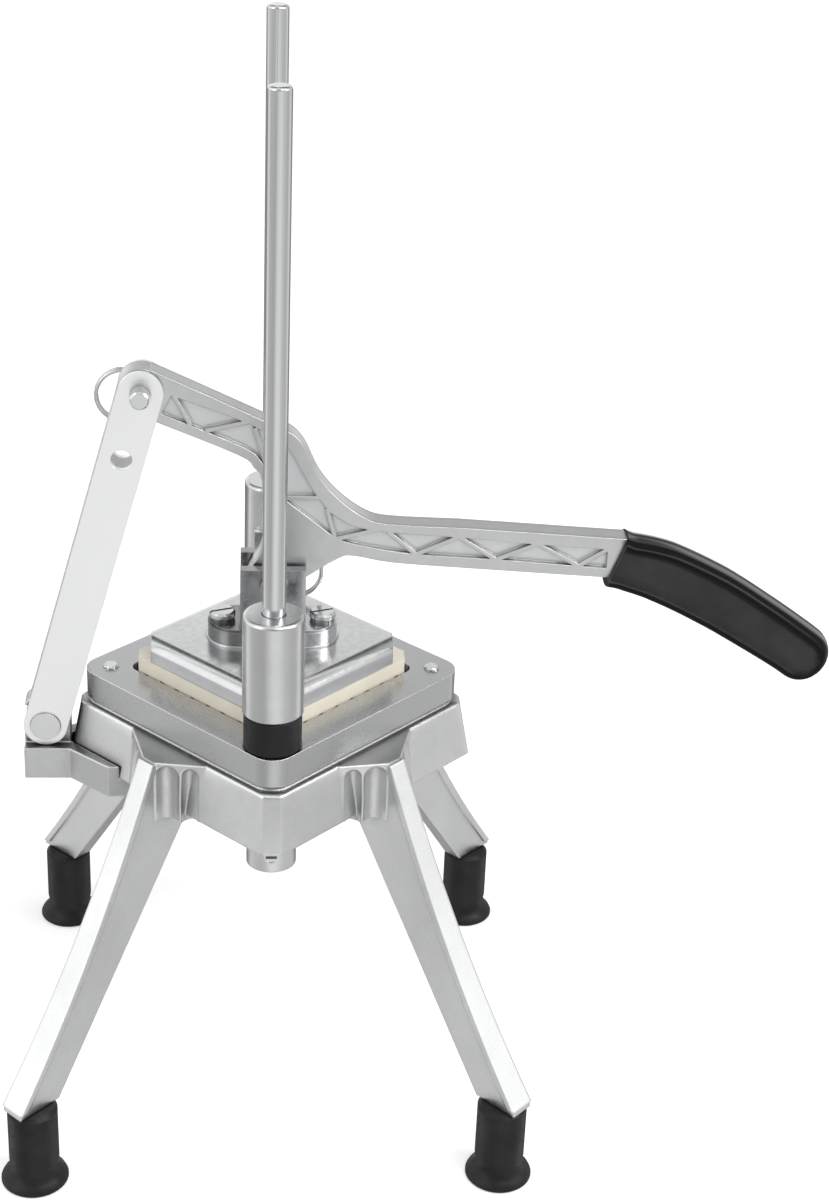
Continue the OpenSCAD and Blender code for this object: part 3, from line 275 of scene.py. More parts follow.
class FryCutterGrip(bpy.types.PropertyGroup):
    """Sizes of the dipped grip, which is measured from the fork pin"""

    along: FloatProperty(
        name="Along", description="Sideways distance from the fork pin to the grip's mouth",
        unit="LENGTH", min=0.1, max=0.2, default=147.9 * MM)
    up: FloatProperty(
        name="Up", description="Height of the middle of the mouth over the fork pin",
        unit="LENGTH", min=0, max=0.05, default=10.1 * MM)
    length: FloatProperty(
        name="Length", description="Length that the shares of the centre line are taken of",
        unit="LENGTH", min=0.05, max=0.2, default=106 * MM)
    height: FloatProperty(
        name="Height", description="Largest height of the grip",
        unit="LENGTH", min=0.01, max=0.05, default=27.2 * MM)
    width: FloatProperty(
        name="Width", description="Width over the beads",
        unit="LENGTH", min=0.01, max=0.05, default=0.95 * GRIP_WIDTH)
    bead: FloatProperty(
        name="Bead", description="Height of the rounded bead along the top and round the tip",
        unit="LENGTH", min=0.002, max=0.01, default=5.6 * MM)
    low_bead: FloatProperty(
        name="Low bead", description="Height of the rounded bead along the bottom",
        unit="LENGTH", min=0.001, max=0.01, default=2.8 * MM)
    flank_depth: FloatProperty(
        name="Flank depth", description="How far each flat flank lies below the bead",
        unit="LENGTH", min=0, max=0.004, default=1.1 * MM)
    flank_slope: FloatProperty(
        name="Flank slope", description="Height over which the bead falls to the flank",
        unit="LENGTH", min=0.0005, max=0.005, default=1.9 * MM)


class FryCutterStudio(bpy.types.PropertyGroup):
    """Camera and light"""

    camera_place: FloatVectorProperty(
        name="Camera", description="Place of the camera", subtype="TRANSLATION",
        unit="LENGTH", default=(-0.007408, -0.885253, 0.675542))
    camera_pitch: FloatProperty(
        name="Pitch", description="How far the camera looks down",
        subtype="ANGLE", default=math.radians(26.57))
    camera_turn: FloatProperty(
        name="Turn", description="How far the camera turns about the upright",
        subtype="ANGLE", default=math.radians(-4.45))
    camera_roll: FloatProperty(
        name="Roll", description="How far the camera tilts sideways",
        subtype="ANGLE", default=math.radians(2.43))
    focal_px: FloatProperty(
        name="Focal length", description="Focal length in pixels of the photograph's frame",
        min=500, max=8000, default=2285)
    room_light: FloatProperty(
        name="Room light", description="Strength of the soft room about the object",
        min=0, max=5, default=1.4)
    floor_glow: FloatProperty(
        name="Floor glow", description="How much the floor is lifted for the camera",
        min=0, max=2, default=0.3)
    key_power: FloatProperty(
        name="Key light", description="Power of the large light on the left",
        min=0, max=200, default=5)
    fill_power: FloatProperty(
        name="Fill light", description="Power of the light on the right",
        min=0, max=200, default=3)
    long_power: FloatProperty(
        name="Long light", description="Power of the long light above the front",
        min=0, max=200, default=11)
    aim_height: FloatProperty(
        name="Aim", description="Height over the floor that the lights point at",
        unit="LENGTH", min=0, max=1, default=0.22)
    floor_half: FloatProperty(
        name="Floor", description="Half the side of the square floor",
        unit="LENGTH", min=1, max=50, default=8)
    floor_colour: FloatVectorProperty(
        name="Floor colour", description="Colour of the floor",
        subtype="COLOR", min=0, max=1, default=(0.93, 0.93, 0.93))


# Node materials


class Shading:
    """A node material under construction, with short calls for the nodes that finishes need."""

    def __init__(self, name, colour, metallic, roughness):
        self.material = bpy.data.materials.new(name)
        self.material.use_nodes = True
        self.nodes = self.material.node_tree.nodes
        self.links = self.material.node_tree.links
        self.shader = self.nodes["Principled BSDF"]
        self.colour = tuple(colour)
        self.shader.inputs["Base Color"].default_value = (*self.colour, 1)
        self.shader.inputs["Metallic"].default_value = metallic
        self.shader.inputs["Roughness"].default_value = roughness
        self.place = self.nodes.new("ShaderNodeTexCoord").outputs["Object"]
        self.height = None
        self.tone = None

    def rounded(self, radius):
        """Shades every edge as if it were rounded by this radius."""
        node = self.nodes.new("ShaderNodeBevel")
        node.samples = EDGE_SAMPLES
        node.inputs["Radius"].default_value = radius
        self.height = node.outputs["Normal"]
        self.links.new(self.height, self.shader.inputs["Normal"])

    def stretched(self, scale):
        """Object coordinates scaled by three numbers, for grain that runs one way."""
        mapping = self.nodes.new("ShaderNodeMapping")
        mapping.inputs["Scale"].default_value = scale
        self.links.new(self.place, mapping.inputs["Vector"])
        return mapping.outputs["Vector"]

    def noise(self, scale, detail=3.0, rough=0.5, vector=None):
        """Noise with this many waves in a metre, or along the vector given."""
        node = self.nodes.new("ShaderNodeTexNoise")
        node.inputs["Scale"].default_value = scale
        node.inputs["Detail"].default_value = detail
        node.inputs["Roughness"].default_value = rough
        self.links.new(vector or self.place, node.inputs["Vector"])
        return node.outputs["Fac"]

    def remap(self, value, low, high, from_low=NOISE_LOW, from_high=NOISE_HIGH):
        """The value moved from one range to another and kept within it."""
        node = self.nodes.new("ShaderNodeMapRange")
        node.inputs["From Min"].default_value = from_low
        node.inputs["From Max"].default_value = from_high
        node.inputs["To Min"].default_value = low
        node.inputs["To Max"].default_value = high
        self.links.new(value, node.inputs["Value"])
        return node.outputs["Result"]

    def math(self, kind, a, b=0):
        """A math node on two values, each a number or a socket."""
        node = self.nodes.new("ShaderNodeMath")
        node.operation = kind
        for socket, value in zip(node.inputs, (a, b)):
            if isinstance(value, (int, float)):
                socket.default_value = value
            else:
                self.links.new(value, socket)
        return node.outputs["Value"]

    def shades(self, value, dark, light):
        """Colour that goes from dark to light times the base colour as value goes from 0 to 1."""
        ramp = self.nodes.new("ShaderNodeValToRGB")
        ends = ramp.color_ramp.elements
        ends[0].color = (*[c * dark for c in self.colour], 1)
        ends[1].color = (*[min(1, c * light) for c in self.colour], 1)
        self.links.new(value, ramp.inputs["Fac"])
        self.tone = ramp.outputs["Color"]
        self.links.new(self.tone, self.shader.inputs["Base Color"])

    def paint_crevice_shade(self, reach, darkest, alone=True):
        """Paints shade into the colour of corners and grooves, and of seams to other pieces unless the piece counts
        alone.
        """
        node = self.nodes.new("ShaderNodeAmbientOcclusion")
        node.samples = CREVICE_SAMPLES
        node.only_local = alone
        node.inputs["Distance"].default_value = reach
        self.multiply(self.remap(node.outputs["AO"], darkest, 1, 0.35, 0.95))

    def paint_top_shade(self, share):
        """Paints shade into the faces that look up, darkening their colour."""
        self.multiply(self.remap(self.facing("Z"), 1, share, 0.72, 0.97))

    def multiply(self, factor):
        """Multiplies the tone by a grey factor."""
        mix = self.nodes.new("ShaderNodeMix")
        mix.data_type = "RGBA"
        mix.blend_type = "MULTIPLY"
        mix.inputs["Factor"].default_value = 1
        self.links.new(self.tone, mix.inputs["A"])
        self.links.new(factor, mix.inputs["B"])
        self.tone = mix.outputs["Result"]
        self.links.new(self.tone, self.shader.inputs["Base Color"])

    def paint_edge_highlight(self, radius, share):
        """Paints a highlight into the colour where an edge turns, lightening it."""
        soft = self.nodes.new("ShaderNodeBevel")
        soft.samples = EDGE_SAMPLES
        soft.inputs["Radius"].default_value = radius
        turn = self.nodes.new("ShaderNodeVectorMath")
        turn.operation = "DOT_PRODUCT"
        self.links.new(soft.outputs["Normal"], turn.inputs[0])
        self.links.new(self.nodes.new("ShaderNodeNewGeometry").outputs["Normal"], turn.inputs[1])
        edge_glint = self.remap(turn.outputs["Value"], share, 0, 0.90, 0.995)
        mix = self.nodes.new("ShaderNodeMix")
        mix.data_type = "RGBA"
        self.links.new(edge_glint, mix.inputs["Factor"])
        self.links.new(self.tone, mix.inputs["A"])
        mix.inputs["B"].default_value = EDGE_HIGHLIGHT
        self.tone = mix.outputs["Result"]
        self.links.new(self.tone, self.shader.inputs["Base Color"])

    def roughness(self, value):
        """Lets a value set the roughness."""
        self.links.new(value, self.shader.inputs["Roughness"])

    def bump(self, height, depth):
        """Adds a relief of this depth to the ones before."""
        node = self.nodes.new("ShaderNodeBump")
        node.inputs["Distance"].default_value = depth
        self.links.new(height, node.inputs["Height"])
        if self.height is not None:
            self.links.new(self.height, node.inputs["Normal"])
        self.height = node.outputs["Normal"]
        self.links.new(self.height, self.shader.inputs["Normal"])

    def component(self, vector, axis):
        """One number of a vector."""
        split = self.nodes.new("ShaderNodeSeparateXYZ")
        self.links.new(vector, split.inputs["Vector"])
        return split.outputs[axis]

    def facing(self, axis):
        """One component of the surface's own direction, in the piece's axes."""
        return self.component(self.nodes.new("ShaderNodeTexCoord").outputs["Normal"], axis)

    def across(self, axis):
        """Share of the way across the piece, from 0 to 1."""
        return self.component(self.nodes.new("ShaderNodeTexCoord").outputs["Generated"], axis)

    def coordinate(self, axis):
        """Place along one of the piece's axes, in metres."""
        return self.component(self.place, axis)


def cast_metal(name, colour, roughness, edge):
    """Satin cast aluminium: fine orange peel, cloudy tone and rounded edges, with painted shade in corners and on
    faces that look up, and a painted highlight where edges turn.
    """
    s = Shading(name, colour, 1.0, roughness)
    s.rounded(edge)
    cloud = s.math("MULTIPLY", s.noise(28, 4), 0.5)
    speckle = s.math("MULTIPLY", s.noise(1300, 3, 0.7), 0.5)
    tone = s.math("ADD", cloud, speckle)
    s.shades(s.remap(tone, 0, 1, 0.35, 0.65), 0.90, 1.06)
    s.paint_top_shade(0.62)
    s.paint_crevice_shade(7 * MM, 0.42, False)
    s.paint_edge_highlight(edge, 0.7)
    s.roughness(s.remap(s.noise(260, 4), roughness - 0.05, roughness + 0.07))
    s.bump(s.noise(170, 3), 0.03 * MM)
    s.bump(s.noise(1200, 3, 0.65), 0.035 * MM)
    return s.material


def ground_metal(name, colour, roughness, along, edge, depth, contrast=0.04):
    """Metal ground or drawn one way, given as the stretch of its grain."""
    s = Shading(name, colour, 1.0, roughness)
    if edge > 0:
        s.rounded(edge)
    lines = s.noise(1.0, 4, 0.65, s.stretched(along))
    s.shades(s.remap(lines, 0, 1), 1 - contrast, 1 + contrast)
    if edge > 0:
        # Painted shade in crevices, then a painted highlight where edges turn
        s.paint_crevice_shade(1.2 * MM, 0.40, False)
        s.paint_edge_highlight(1.6 * edge, 0.9)
    s.roughness(s.remap(lines, roughness - 0.04, roughness + 0.05))
    s.bump(lines, depth)
    return s.material


def polished_metal(name, colour, roughness, edge=0.0, wave=1.0, ends=None):
    """Buffed metal with a faint wave and hairline marks.

    Ends are two shares of its tone, at the link's side and at the grip's side, painting a gradient of light and shade
    across the piece.
    """
    s = Shading(name, colour, 1.0, roughness)
    if edge > 0:
        s.rounded(edge)
    s.shades(s.remap(s.noise(60, 4), 0, 1), 0.95, 1.04)
    # Painted gradient of light and shade across the piece, from the link's side to the grip's side
    if ends:
        s.multiply(s.remap(s.across("X"), *ends, 0, 1))
    # Painted shade in corners, grooves and seams
    s.paint_crevice_shade(1.5 * MM, 0.5)
    s.roughness(s.remap(s.noise(420, 4), roughness - 0.04, roughness + 0.06))
    s.bump(s.noise(90, 2), wave * 0.02 * MM)
    s.bump(s.noise(1.0, 3, 0.6, s.stretched((1500, 1500, 120))), wave * 0.002 * MM)
    return s.material


def lever_metal(name, colour, web_half, edge):
    """Cast lever: satin flanges, and a matte, grained web where the face lies within web_half."""
    s = Shading(name, colour, 1.0, 0.36)
    s.rounded(edge)
    depth = s.math("ABSOLUTE", s.coordinate("Y"))
    web = s.math("LESS_THAN", depth, web_half)
    speckle = s.noise(1500, 3, 0.75)
    cloud = s.noise(45, 4)
    mottle = s.math("ADD", s.math("MULTIPLY", cloud, 0.13), s.math("MULTIPLY", speckle, 0.08))
    tone = s.math("ADD", mottle, s.math("MULTIPLY", web, 0.6))
    s.shades(tone, 0.91, 1.42)
    # Painted shade on the faces that look up and in crevices, and a painted highlight where edges turn
    s.paint_top_shade(0.74)
    s.paint_crevice_shade(1.6 * MM, 0.55)
    s.paint_edge_highlight(edge, 0.4)
    s.roughness(s.math("ADD", s.remap(s.noise(300, 4), 0.28, 0.38), s.math("MULTIPLY", web, 0.16)))
    s.bump(s.noise(140, 3), 0.02 * MM)
    s.bump(s.math("MULTIPLY", speckle, s.remap(web, 0.2, 1.0, 0, 1)), 0.1 * MM)
    return s.material


def rubber_material(name, colour):
    """Moulded rubber with a dull skin, dusty tone and a soft sheen."""
    s = Shading(name, colour, 0.0, 0.42)
    s.shades(s.remap(s.noise(70, 5), 0, 1), 0.8, 1.8)
    s.roughness(s.remap(s.noise(420, 4), 0.34, 0.50))
    s.bump(s.noise(120, 3), 0.12 * MM)
    s.bump(s.noise(900, 3, 0.6), 0.04 * MM)
    s.shader.inputs["Specular IOR Level"].default_value = 0.22
    return s.material


def grip_material(name, colour):
    """Dipped plastic: dull and mottled on the flanks, with a gloss along the bead's shoulders."""
    s = Shading(name, colour, 0.0, 0.3)
    flank = s.nodes.new("ShaderNodeAttribute")
    flank.attribute_name = FLANK
    side = flank.outputs["Fac"]
    lean = s.math("ABSOLUTE", s.facing("Y"))
    rising, falling = s.remap(lean, 0, 1, 0.07, 0.17), s.remap(lean, 1, 0, 0.28, 0.42)
    shoulder = s.math("MULTIPLY", rising, falling)
    gloss = s.math("MULTIPLY", shoulder, s.remap(s.facing("Z"), 0, 1, 0.0, 0.4))
    s.shades(s.math("MULTIPLY", side, s.remap(s.noise(70, 5, 0.6), 0.35, 1.1)), 0.6, 2.4)
    smear = s.remap(s.noise(160, 5), 0.15, 0.24)
    s.roughness(s.math("ADD", smear, s.math("MULTIPLY", side, 0.26)))
    s.bump(s.noise(70, 3), 0.14 * MM)
    s.bump(s.noise(1300, 2), 0.01 * MM)
    level = s.math("ADD", s.math("MULTIPLY", side, 0.26), s.remap(gloss, 0.05, 0.9, 0, 1))
    s.links.new(level, s.shader.inputs["Specular IOR Level"])
    s.links.new(s.remap(gloss, 0.03, 1.0, 0, 1), s.shader.inputs["Coat Weight"])
    s.shader.inputs["Coat Roughness"].default_value = 0.12
    s.shader.inputs["Coat IOR"].default_value = 2.0
    return s.material


def ivory_material(name, colour):
    """Moulded ivory plastic, faintly translucent, with a warmer cast in places."""
    s = Shading(name, colour, 0.0, 0.40)
    s.shades(s.remap(s.noise(40, 4), 0, 1), 0.93, 1.06)
    s.roughness(s.remap(s.noise(300, 3), 0.34, 0.48))
    s.bump(s.noise(600, 3), 0.03 * MM)
    s.shader.inputs["Subsurface Weight"].default_value = 0.15
    s.shader.inputs["Subsurface Radius"].default_value = (3 * MM, 2 * MM, 1 * MM)
    return s.material


# The finishes made so far, by their key
FINISHES = {}


def finish(key):
    """The named finish, made once."""
    if key in FINISHES:
        return FINISHES[key]
    colours = bpy.context.scene.fry_cutter_colours
    edges = bpy.context.scene.fry_cutter_details
    fine = edges.machined_edge
    grain = 0.003 * MM
    makers = {
        "cast_aluminium": (
            cast_metal, "cast_aluminium", colours.casting, 0.33, edges.cast_edge),
        "bracket_aluminium": (
            cast_metal, "cast_bracket", colours.bracket, 0.33, edges.cast_edge),
        "plate_aluminium": (
            ground_metal, "ground_plate", colours.plate, 0.29, (1400, 1400, 1400), fine, grain,
            0.03),
        "head_aluminium": (
            polished_metal, "polished_casting", colours.head, 0.20, edges.head_edge, 0.4),
        "lever_aluminium": (
            lever_metal, "lever_casting_metal", colours.lever, edges.web_half, edges.lever_edge),
        "link_aluminium": (
            ground_metal, "satin_bar", colours.link, 0.38, (1200, 1200, 90), fine, grain, 0.02),
        "rod_steel": (
            ground_metal, "drawn_rod", colours.steel, 0.16, (2600, 2600, 8), 0, grain, 0.05),
        "blade_steel": (
            ground_metal, "blade_steel", colours.steel, 0.22, (90, 90, 1400), 0, 0.008 * MM),
        # The fork's tone gets a painted gradient of shade and light, darker at the link's side and lighter at the
        # grip's side
        "fork_steel": (
            polished_metal, "fork_metal", colours.fork, 0.22, fine, 0.3, (0.45, 1.6)),
        "steel": (polished_metal, "bright_steel", colours.steel, 0.17, fine / 2),
        "dark_steel": (polished_metal, "dull_steel", colours.dark_steel, 0.34, fine / 2),
        "bronze": (polished_metal, "bushing_bronze", colours.bronze, 0.30),
        "black_rubber": (rubber_material, "black_rubber_skin", colours.rubber),
        "black_grip": (grip_material, "dipped_plastic", colours.grip),
        "ivory_plastic": (ivory_material, "ivory_plastic", colours.ivory),
    }
    maker, *values = makers[key]
    FINISHES[key] = maker(*values)
    return FINISHES[key]


# Meshes


def dress(node, slot, look=None):
    """Gives a carried-over node the finish of its slot, or another look where one is named."""
    piece = frame["nodes"][node]
    piece.data.materials.clear()
    piece.data.materials.append(finish(look or slot))
    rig.slot(piece, slot)
    return piece


def smooth(piece, angle=CRISP):
    """Joins the faces of a piece and shades all but its sharp edges smooth."""
    weld = piece.modifiers.new("joined", "WELD")
    weld.merge_threshold = WELD_REACH
    for polygon in piece.data.polygons:
        polygon.use_smooth = True
    split = piece.modifiers.new("crisp", "EDGE_SPLIT")
    split.split_angle = math.radians(angle)
    normals = piece.modifiers.new("shading", "WEIGHTED_NORMAL")
    normals.weight = 90


def piece_from(name, bm, slot, body, nodes):
    """Turns a bmesh into a piece of the object that rides a body and replaces some nodes."""
    mesh = bpy.data.meshes.new(name)
    bmesh.ops.recalc_face_normals(bm, faces=bm.faces)
    bm.to_mesh(mesh)
    bm.free()
    for polygon in mesh.polygons:
        polygon.use_smooth = True
    piece = bpy.data.objects.new(name, mesh)
    bpy.context.scene.collection.objects.link(piece)
    mesh.materials.append(finish(slot))
    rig.ride(piece, body)
    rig.slot(piece, slot)
    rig.replaces(piece, *nodes)
    return piece


def run(step, name):
    """Calls one step of an operator and turns a missing node into a plain error."""
    try:
        step()
    except KeyError as missing:
        raise RuntimeError(f"{name}: the frame has no node {missing}")
    return {"FINISHED"}


class FRYCUTTER_OT_base(bpy.types.Operator):
    """Finish the base casting and the link bracket"""

    bl_idname = "fry_cutter.base"
    bl_label = "Base casting"

    def execute(self, context):
        return run(self.dress_base, self.bl_label)

    def dress_base(self):
        smooth(dress("base_casting", "cast_aluminium"))
        smooth(dress("link_bracket", "cast_aluminium", "bracket_aluminium"))


class FRYCUTTER_OT_plate(bpy.types.Operator):
    """Finish the blade plate and both rows of blades"""

    bl_idname = "fry_cutter.plate"
    bl_label = "Plate and blades"

    def execute(self, context):
        return run(self.dress_plate, self.bl_label)

    def dress_plate(self):
        smooth(dress("blade_plate", "plate_aluminium"))
        for node in ("upper_blades", "lower_blades"):
            smooth(dress(node, "blade_steel"), CRISP_BLADE)


class FRYCUTTER_OT_head(bpy.types.Operator):
    """Finish the head casting, its fork, its bushings and the pusher"""

    bl_idname = "fry_cutter.head"
    bl_label = "Pusher head"

    def execute(self, context):
        return run(self.dress_head, self.bl_label)

    def dress_head(self):
        smooth(dress("head_casting", "head_aluminium"))
        smooth(dress("lever_fork", "fork_steel"))
        smooth(dress("sleeve_bushings", "bronze"))
        smooth(dress("pusher", "ivory_plastic"))


class FRYCUTTER_OT_rods(bpy.types.Operator):
    """Finish the guide rods and the rubber bumpers on them"""

    bl_idname = "fry_cutter.rods"
    bl_label = "Guide rods"

    def execute(self, context):
        return run(self.dress_rods, self.bl_label)

    def dress_rods(self):
        for node in ("guide_rod_front", "guide_rod_back"):
            smooth(dress(node, "rod_steel"), CRISP_ROUND)
        smooth(dress("rod_bumpers", "black_rubber"), CRISP_ROUND)


class FRYCUTTER_OT_lever(bpy.types.Operator):
    """Finish the trussed lever casting"""

    bl_idname = "fry_cutter.lever"
    bl_label = "Lever"

    def execute(self, context):
        return run(self.dress_lever, self.bl_label)

    def dress_lever(self):
        smooth(dress("lever_casting", "lever_aluminium"))


class FRYCUTTER_OT_grip(bpy.types.Operator):
    """Build the dipped grip: a bead round two flat flanks, along a bent centre line"""

    bl_idname = "fry_cutter.grip"
    bl_label = "Grip"

    def execute(self, context):
        return run(self.build_grip, self.bl_label)

    def build_grip(self):
        grip = bpy.context.scene.fry_cutter_grip
        bm = bmesh.new()
        flank = bm.verts.layers.float.new(FLANK)
        rows = []
        for centre, way, half, beyond, end in self.stations(grip):
            row = []
            for up, out, share in self.section(grip, half, beyond, end):
                vert = bm.verts.new(centre + Vector((-way.z * up, out, way.x * up)))
                vert[flank] = share
                row.append(vert)
            rows.append(row)
        for one, two in zip(rows, rows[1:]):
            for k in range(len(one)):
                after = (k + 1) % len(one)
                bm.faces.new((one[k], one[after], two[after], two[k]))
        bm.faces.new(rows[0])
        bm.faces.new(rows[-1])
        piece = piece_from("grip_skin", bm, "black_grip", "lever", ("grip",))
        mouth = piece.modifiers.new("crisp", "EDGE_SPLIT")
        mouth.split_angle = math.radians(CRISP_MOUTH)

    def stations(self, grip):
        """Sections as centre, way, half height, distance past the last centre and end radius."""
        low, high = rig.box("fork_pin")
        start = Vector(((low[0] + high[0]) / 2 + grip.along, 0, (low[2] + high[2]) / 2 + grip.up))
        centres, sizes = [], []
        last = len(GRIP_WAY) - 1
        for k in range(last * GRIP_STEPS + 1):
            i, t = min(divmod(k, GRIP_STEPS), (last - 1, GRIP_STEPS))
            t /= GRIP_STEPS
            a, b, c, d = (Vector(GRIP_WAY[min(max(i + j, 0), last)]) for j in (-1, 0, 1, 2))
            bend = (2 * b + (c - a) * t + (2 * a - 5 * b + 4 * c - d) * t ** 2
                    + (3 * b - a - 3 * c + d) * t ** 3) / 2
            centres.append(start + grip.length * Vector((bend.x, 0, bend.y)))
            sizes.append(grip.height / 2 * (GRIP_SIZE[i] + (GRIP_SIZE[i + 1] - GRIP_SIZE[i]) * t))
        for k, (centre, size) in enumerate(zip(centres, sizes)):
            way = (centres[min(k + 1, len(centres) - 1)] - centres[max(k - 1, 0)]).normalized()
            if k == 0:
                way = Vector((math.cos(GRIP_LEAN), 0, math.sin(GRIP_LEAN)))
            yield centre, way, size, 0.0, size
        for k in range(1, GRIP_CAP + 1):
            angle = GRIP_CAP_END * k / GRIP_CAP
            beyond = size * math.sin(angle)
            yield centre + way * beyond, way, size * math.cos(angle), beyond, size

    def section(self, grip, half, beyond, end):
        """Points of one section as height, width and share of the flank, once round."""
        upper = self.edge(grip, grip.bead, half, end)
        lower = self.edge(grip, grip.low_bead, half, end)
        ups = upper + [upper[-1] / 2, 0.0, -lower[-1] / 2] + [-up for up in reversed(lower)]
        side = []
        for up in ups:
            # 0 at the bottom of the section, 1 at its top and round the tip
            share = min(max((up + beyond) / end * 0.5 + 0.5, 0.0), 1.0)
            bead = grip.low_bead + (grip.bead - grip.low_bead) * share
            depth = max(end - math.hypot(up, beyond), 0.0)
            rise = max(1 - depth / bead, 0.0)
            fall = min(max((depth - bead) / grip.flank_slope, 0.0), 1.0)
            fall = fall * fall * (3 - 2 * fall)
            out = grip.width / 2 * math.sqrt(max(1 - rise ** 2, 0.0)) - grip.flank_depth * fall
            side.append((up, out, fall))
        return side + [(up, -out, fall) for up, out, fall in reversed(side[1:-1])]

    def edge(self, grip, bead, half, end):
        """Heights of the points over a bead and down its slope."""
        quarter = math.radians(90)
        depths = [bead * (1 - math.cos(quarter * k / BEAD_STEPS)) for k in range(BEAD_STEPS + 1)]
        depths += [bead + grip.flank_slope * k / SLOPE_STEPS for k in range(1, SLOPE_STEPS + 1)]
        return [half - depth * half / end for depth in depths]


class FRYCUTTER_OT_link(bpy.types.Operator):
    """Finish the link bars and their pins"""

    bl_idname = "fry_cutter.link"
    bl_label = "Link"

    def execute(self, context):
        return run(self.dress_link, self.bl_label)

    def dress_link(self):
        for node in ("link_bar_front", "link_bar_back"):
            smooth(dress(node, "link_aluminium"))
        for node in ("link_lower_pin", "link_upper_pin", "fork_pin"):
            smooth(dress(node, "steel"))


class FRYCUTTER_OT_feet(bpy.types.Operator):
    """Finish the rubber feet"""

    bl_idname = "fry_cutter.feet"
    bl_label = "Feet"

    def execute(self, context):
        return run(self.dress_feet, self.bl_label)

    def dress_feet(self):
        smooth(dress("rubber_feet", "black_rubber"), CRISP_ROUND)


class FRYCUTTER_OT_fasteners(bpy.types.Operator):
    """Finish the screws, studs, nuts and washers"""

    bl_idname = "fry_cutter.fasteners"
    bl_label = "Fasteners"

    def execute(self, context):
        return run(self.dress_fasteners, self.bl_label)

    def dress_fasteners(self):
        bright = ("foot_screws", "plate_studs", "thumb_nuts", "bracket_screws", "fork_screws",
                  "pusher_screws", "rod_set_screws")
        for node in bright:
            smooth(dress(node, "steel"))
        smooth(dress("fork_washers", "dark_steel"))


class FRYCUTTER_OT_rings(bpy.types.Operator):
    """Finish the split rings"""

    bl_idname = "fry_cutter.rings"
    bl_label = "Split rings"

    def execute(self, context):
        return run(self.dress_rings, self.bl_label)

    def dress_rings(self):
        for node in ("fork_ring", "link_ring"):
            smooth(dress(node, "steel"), CRISP_RING)


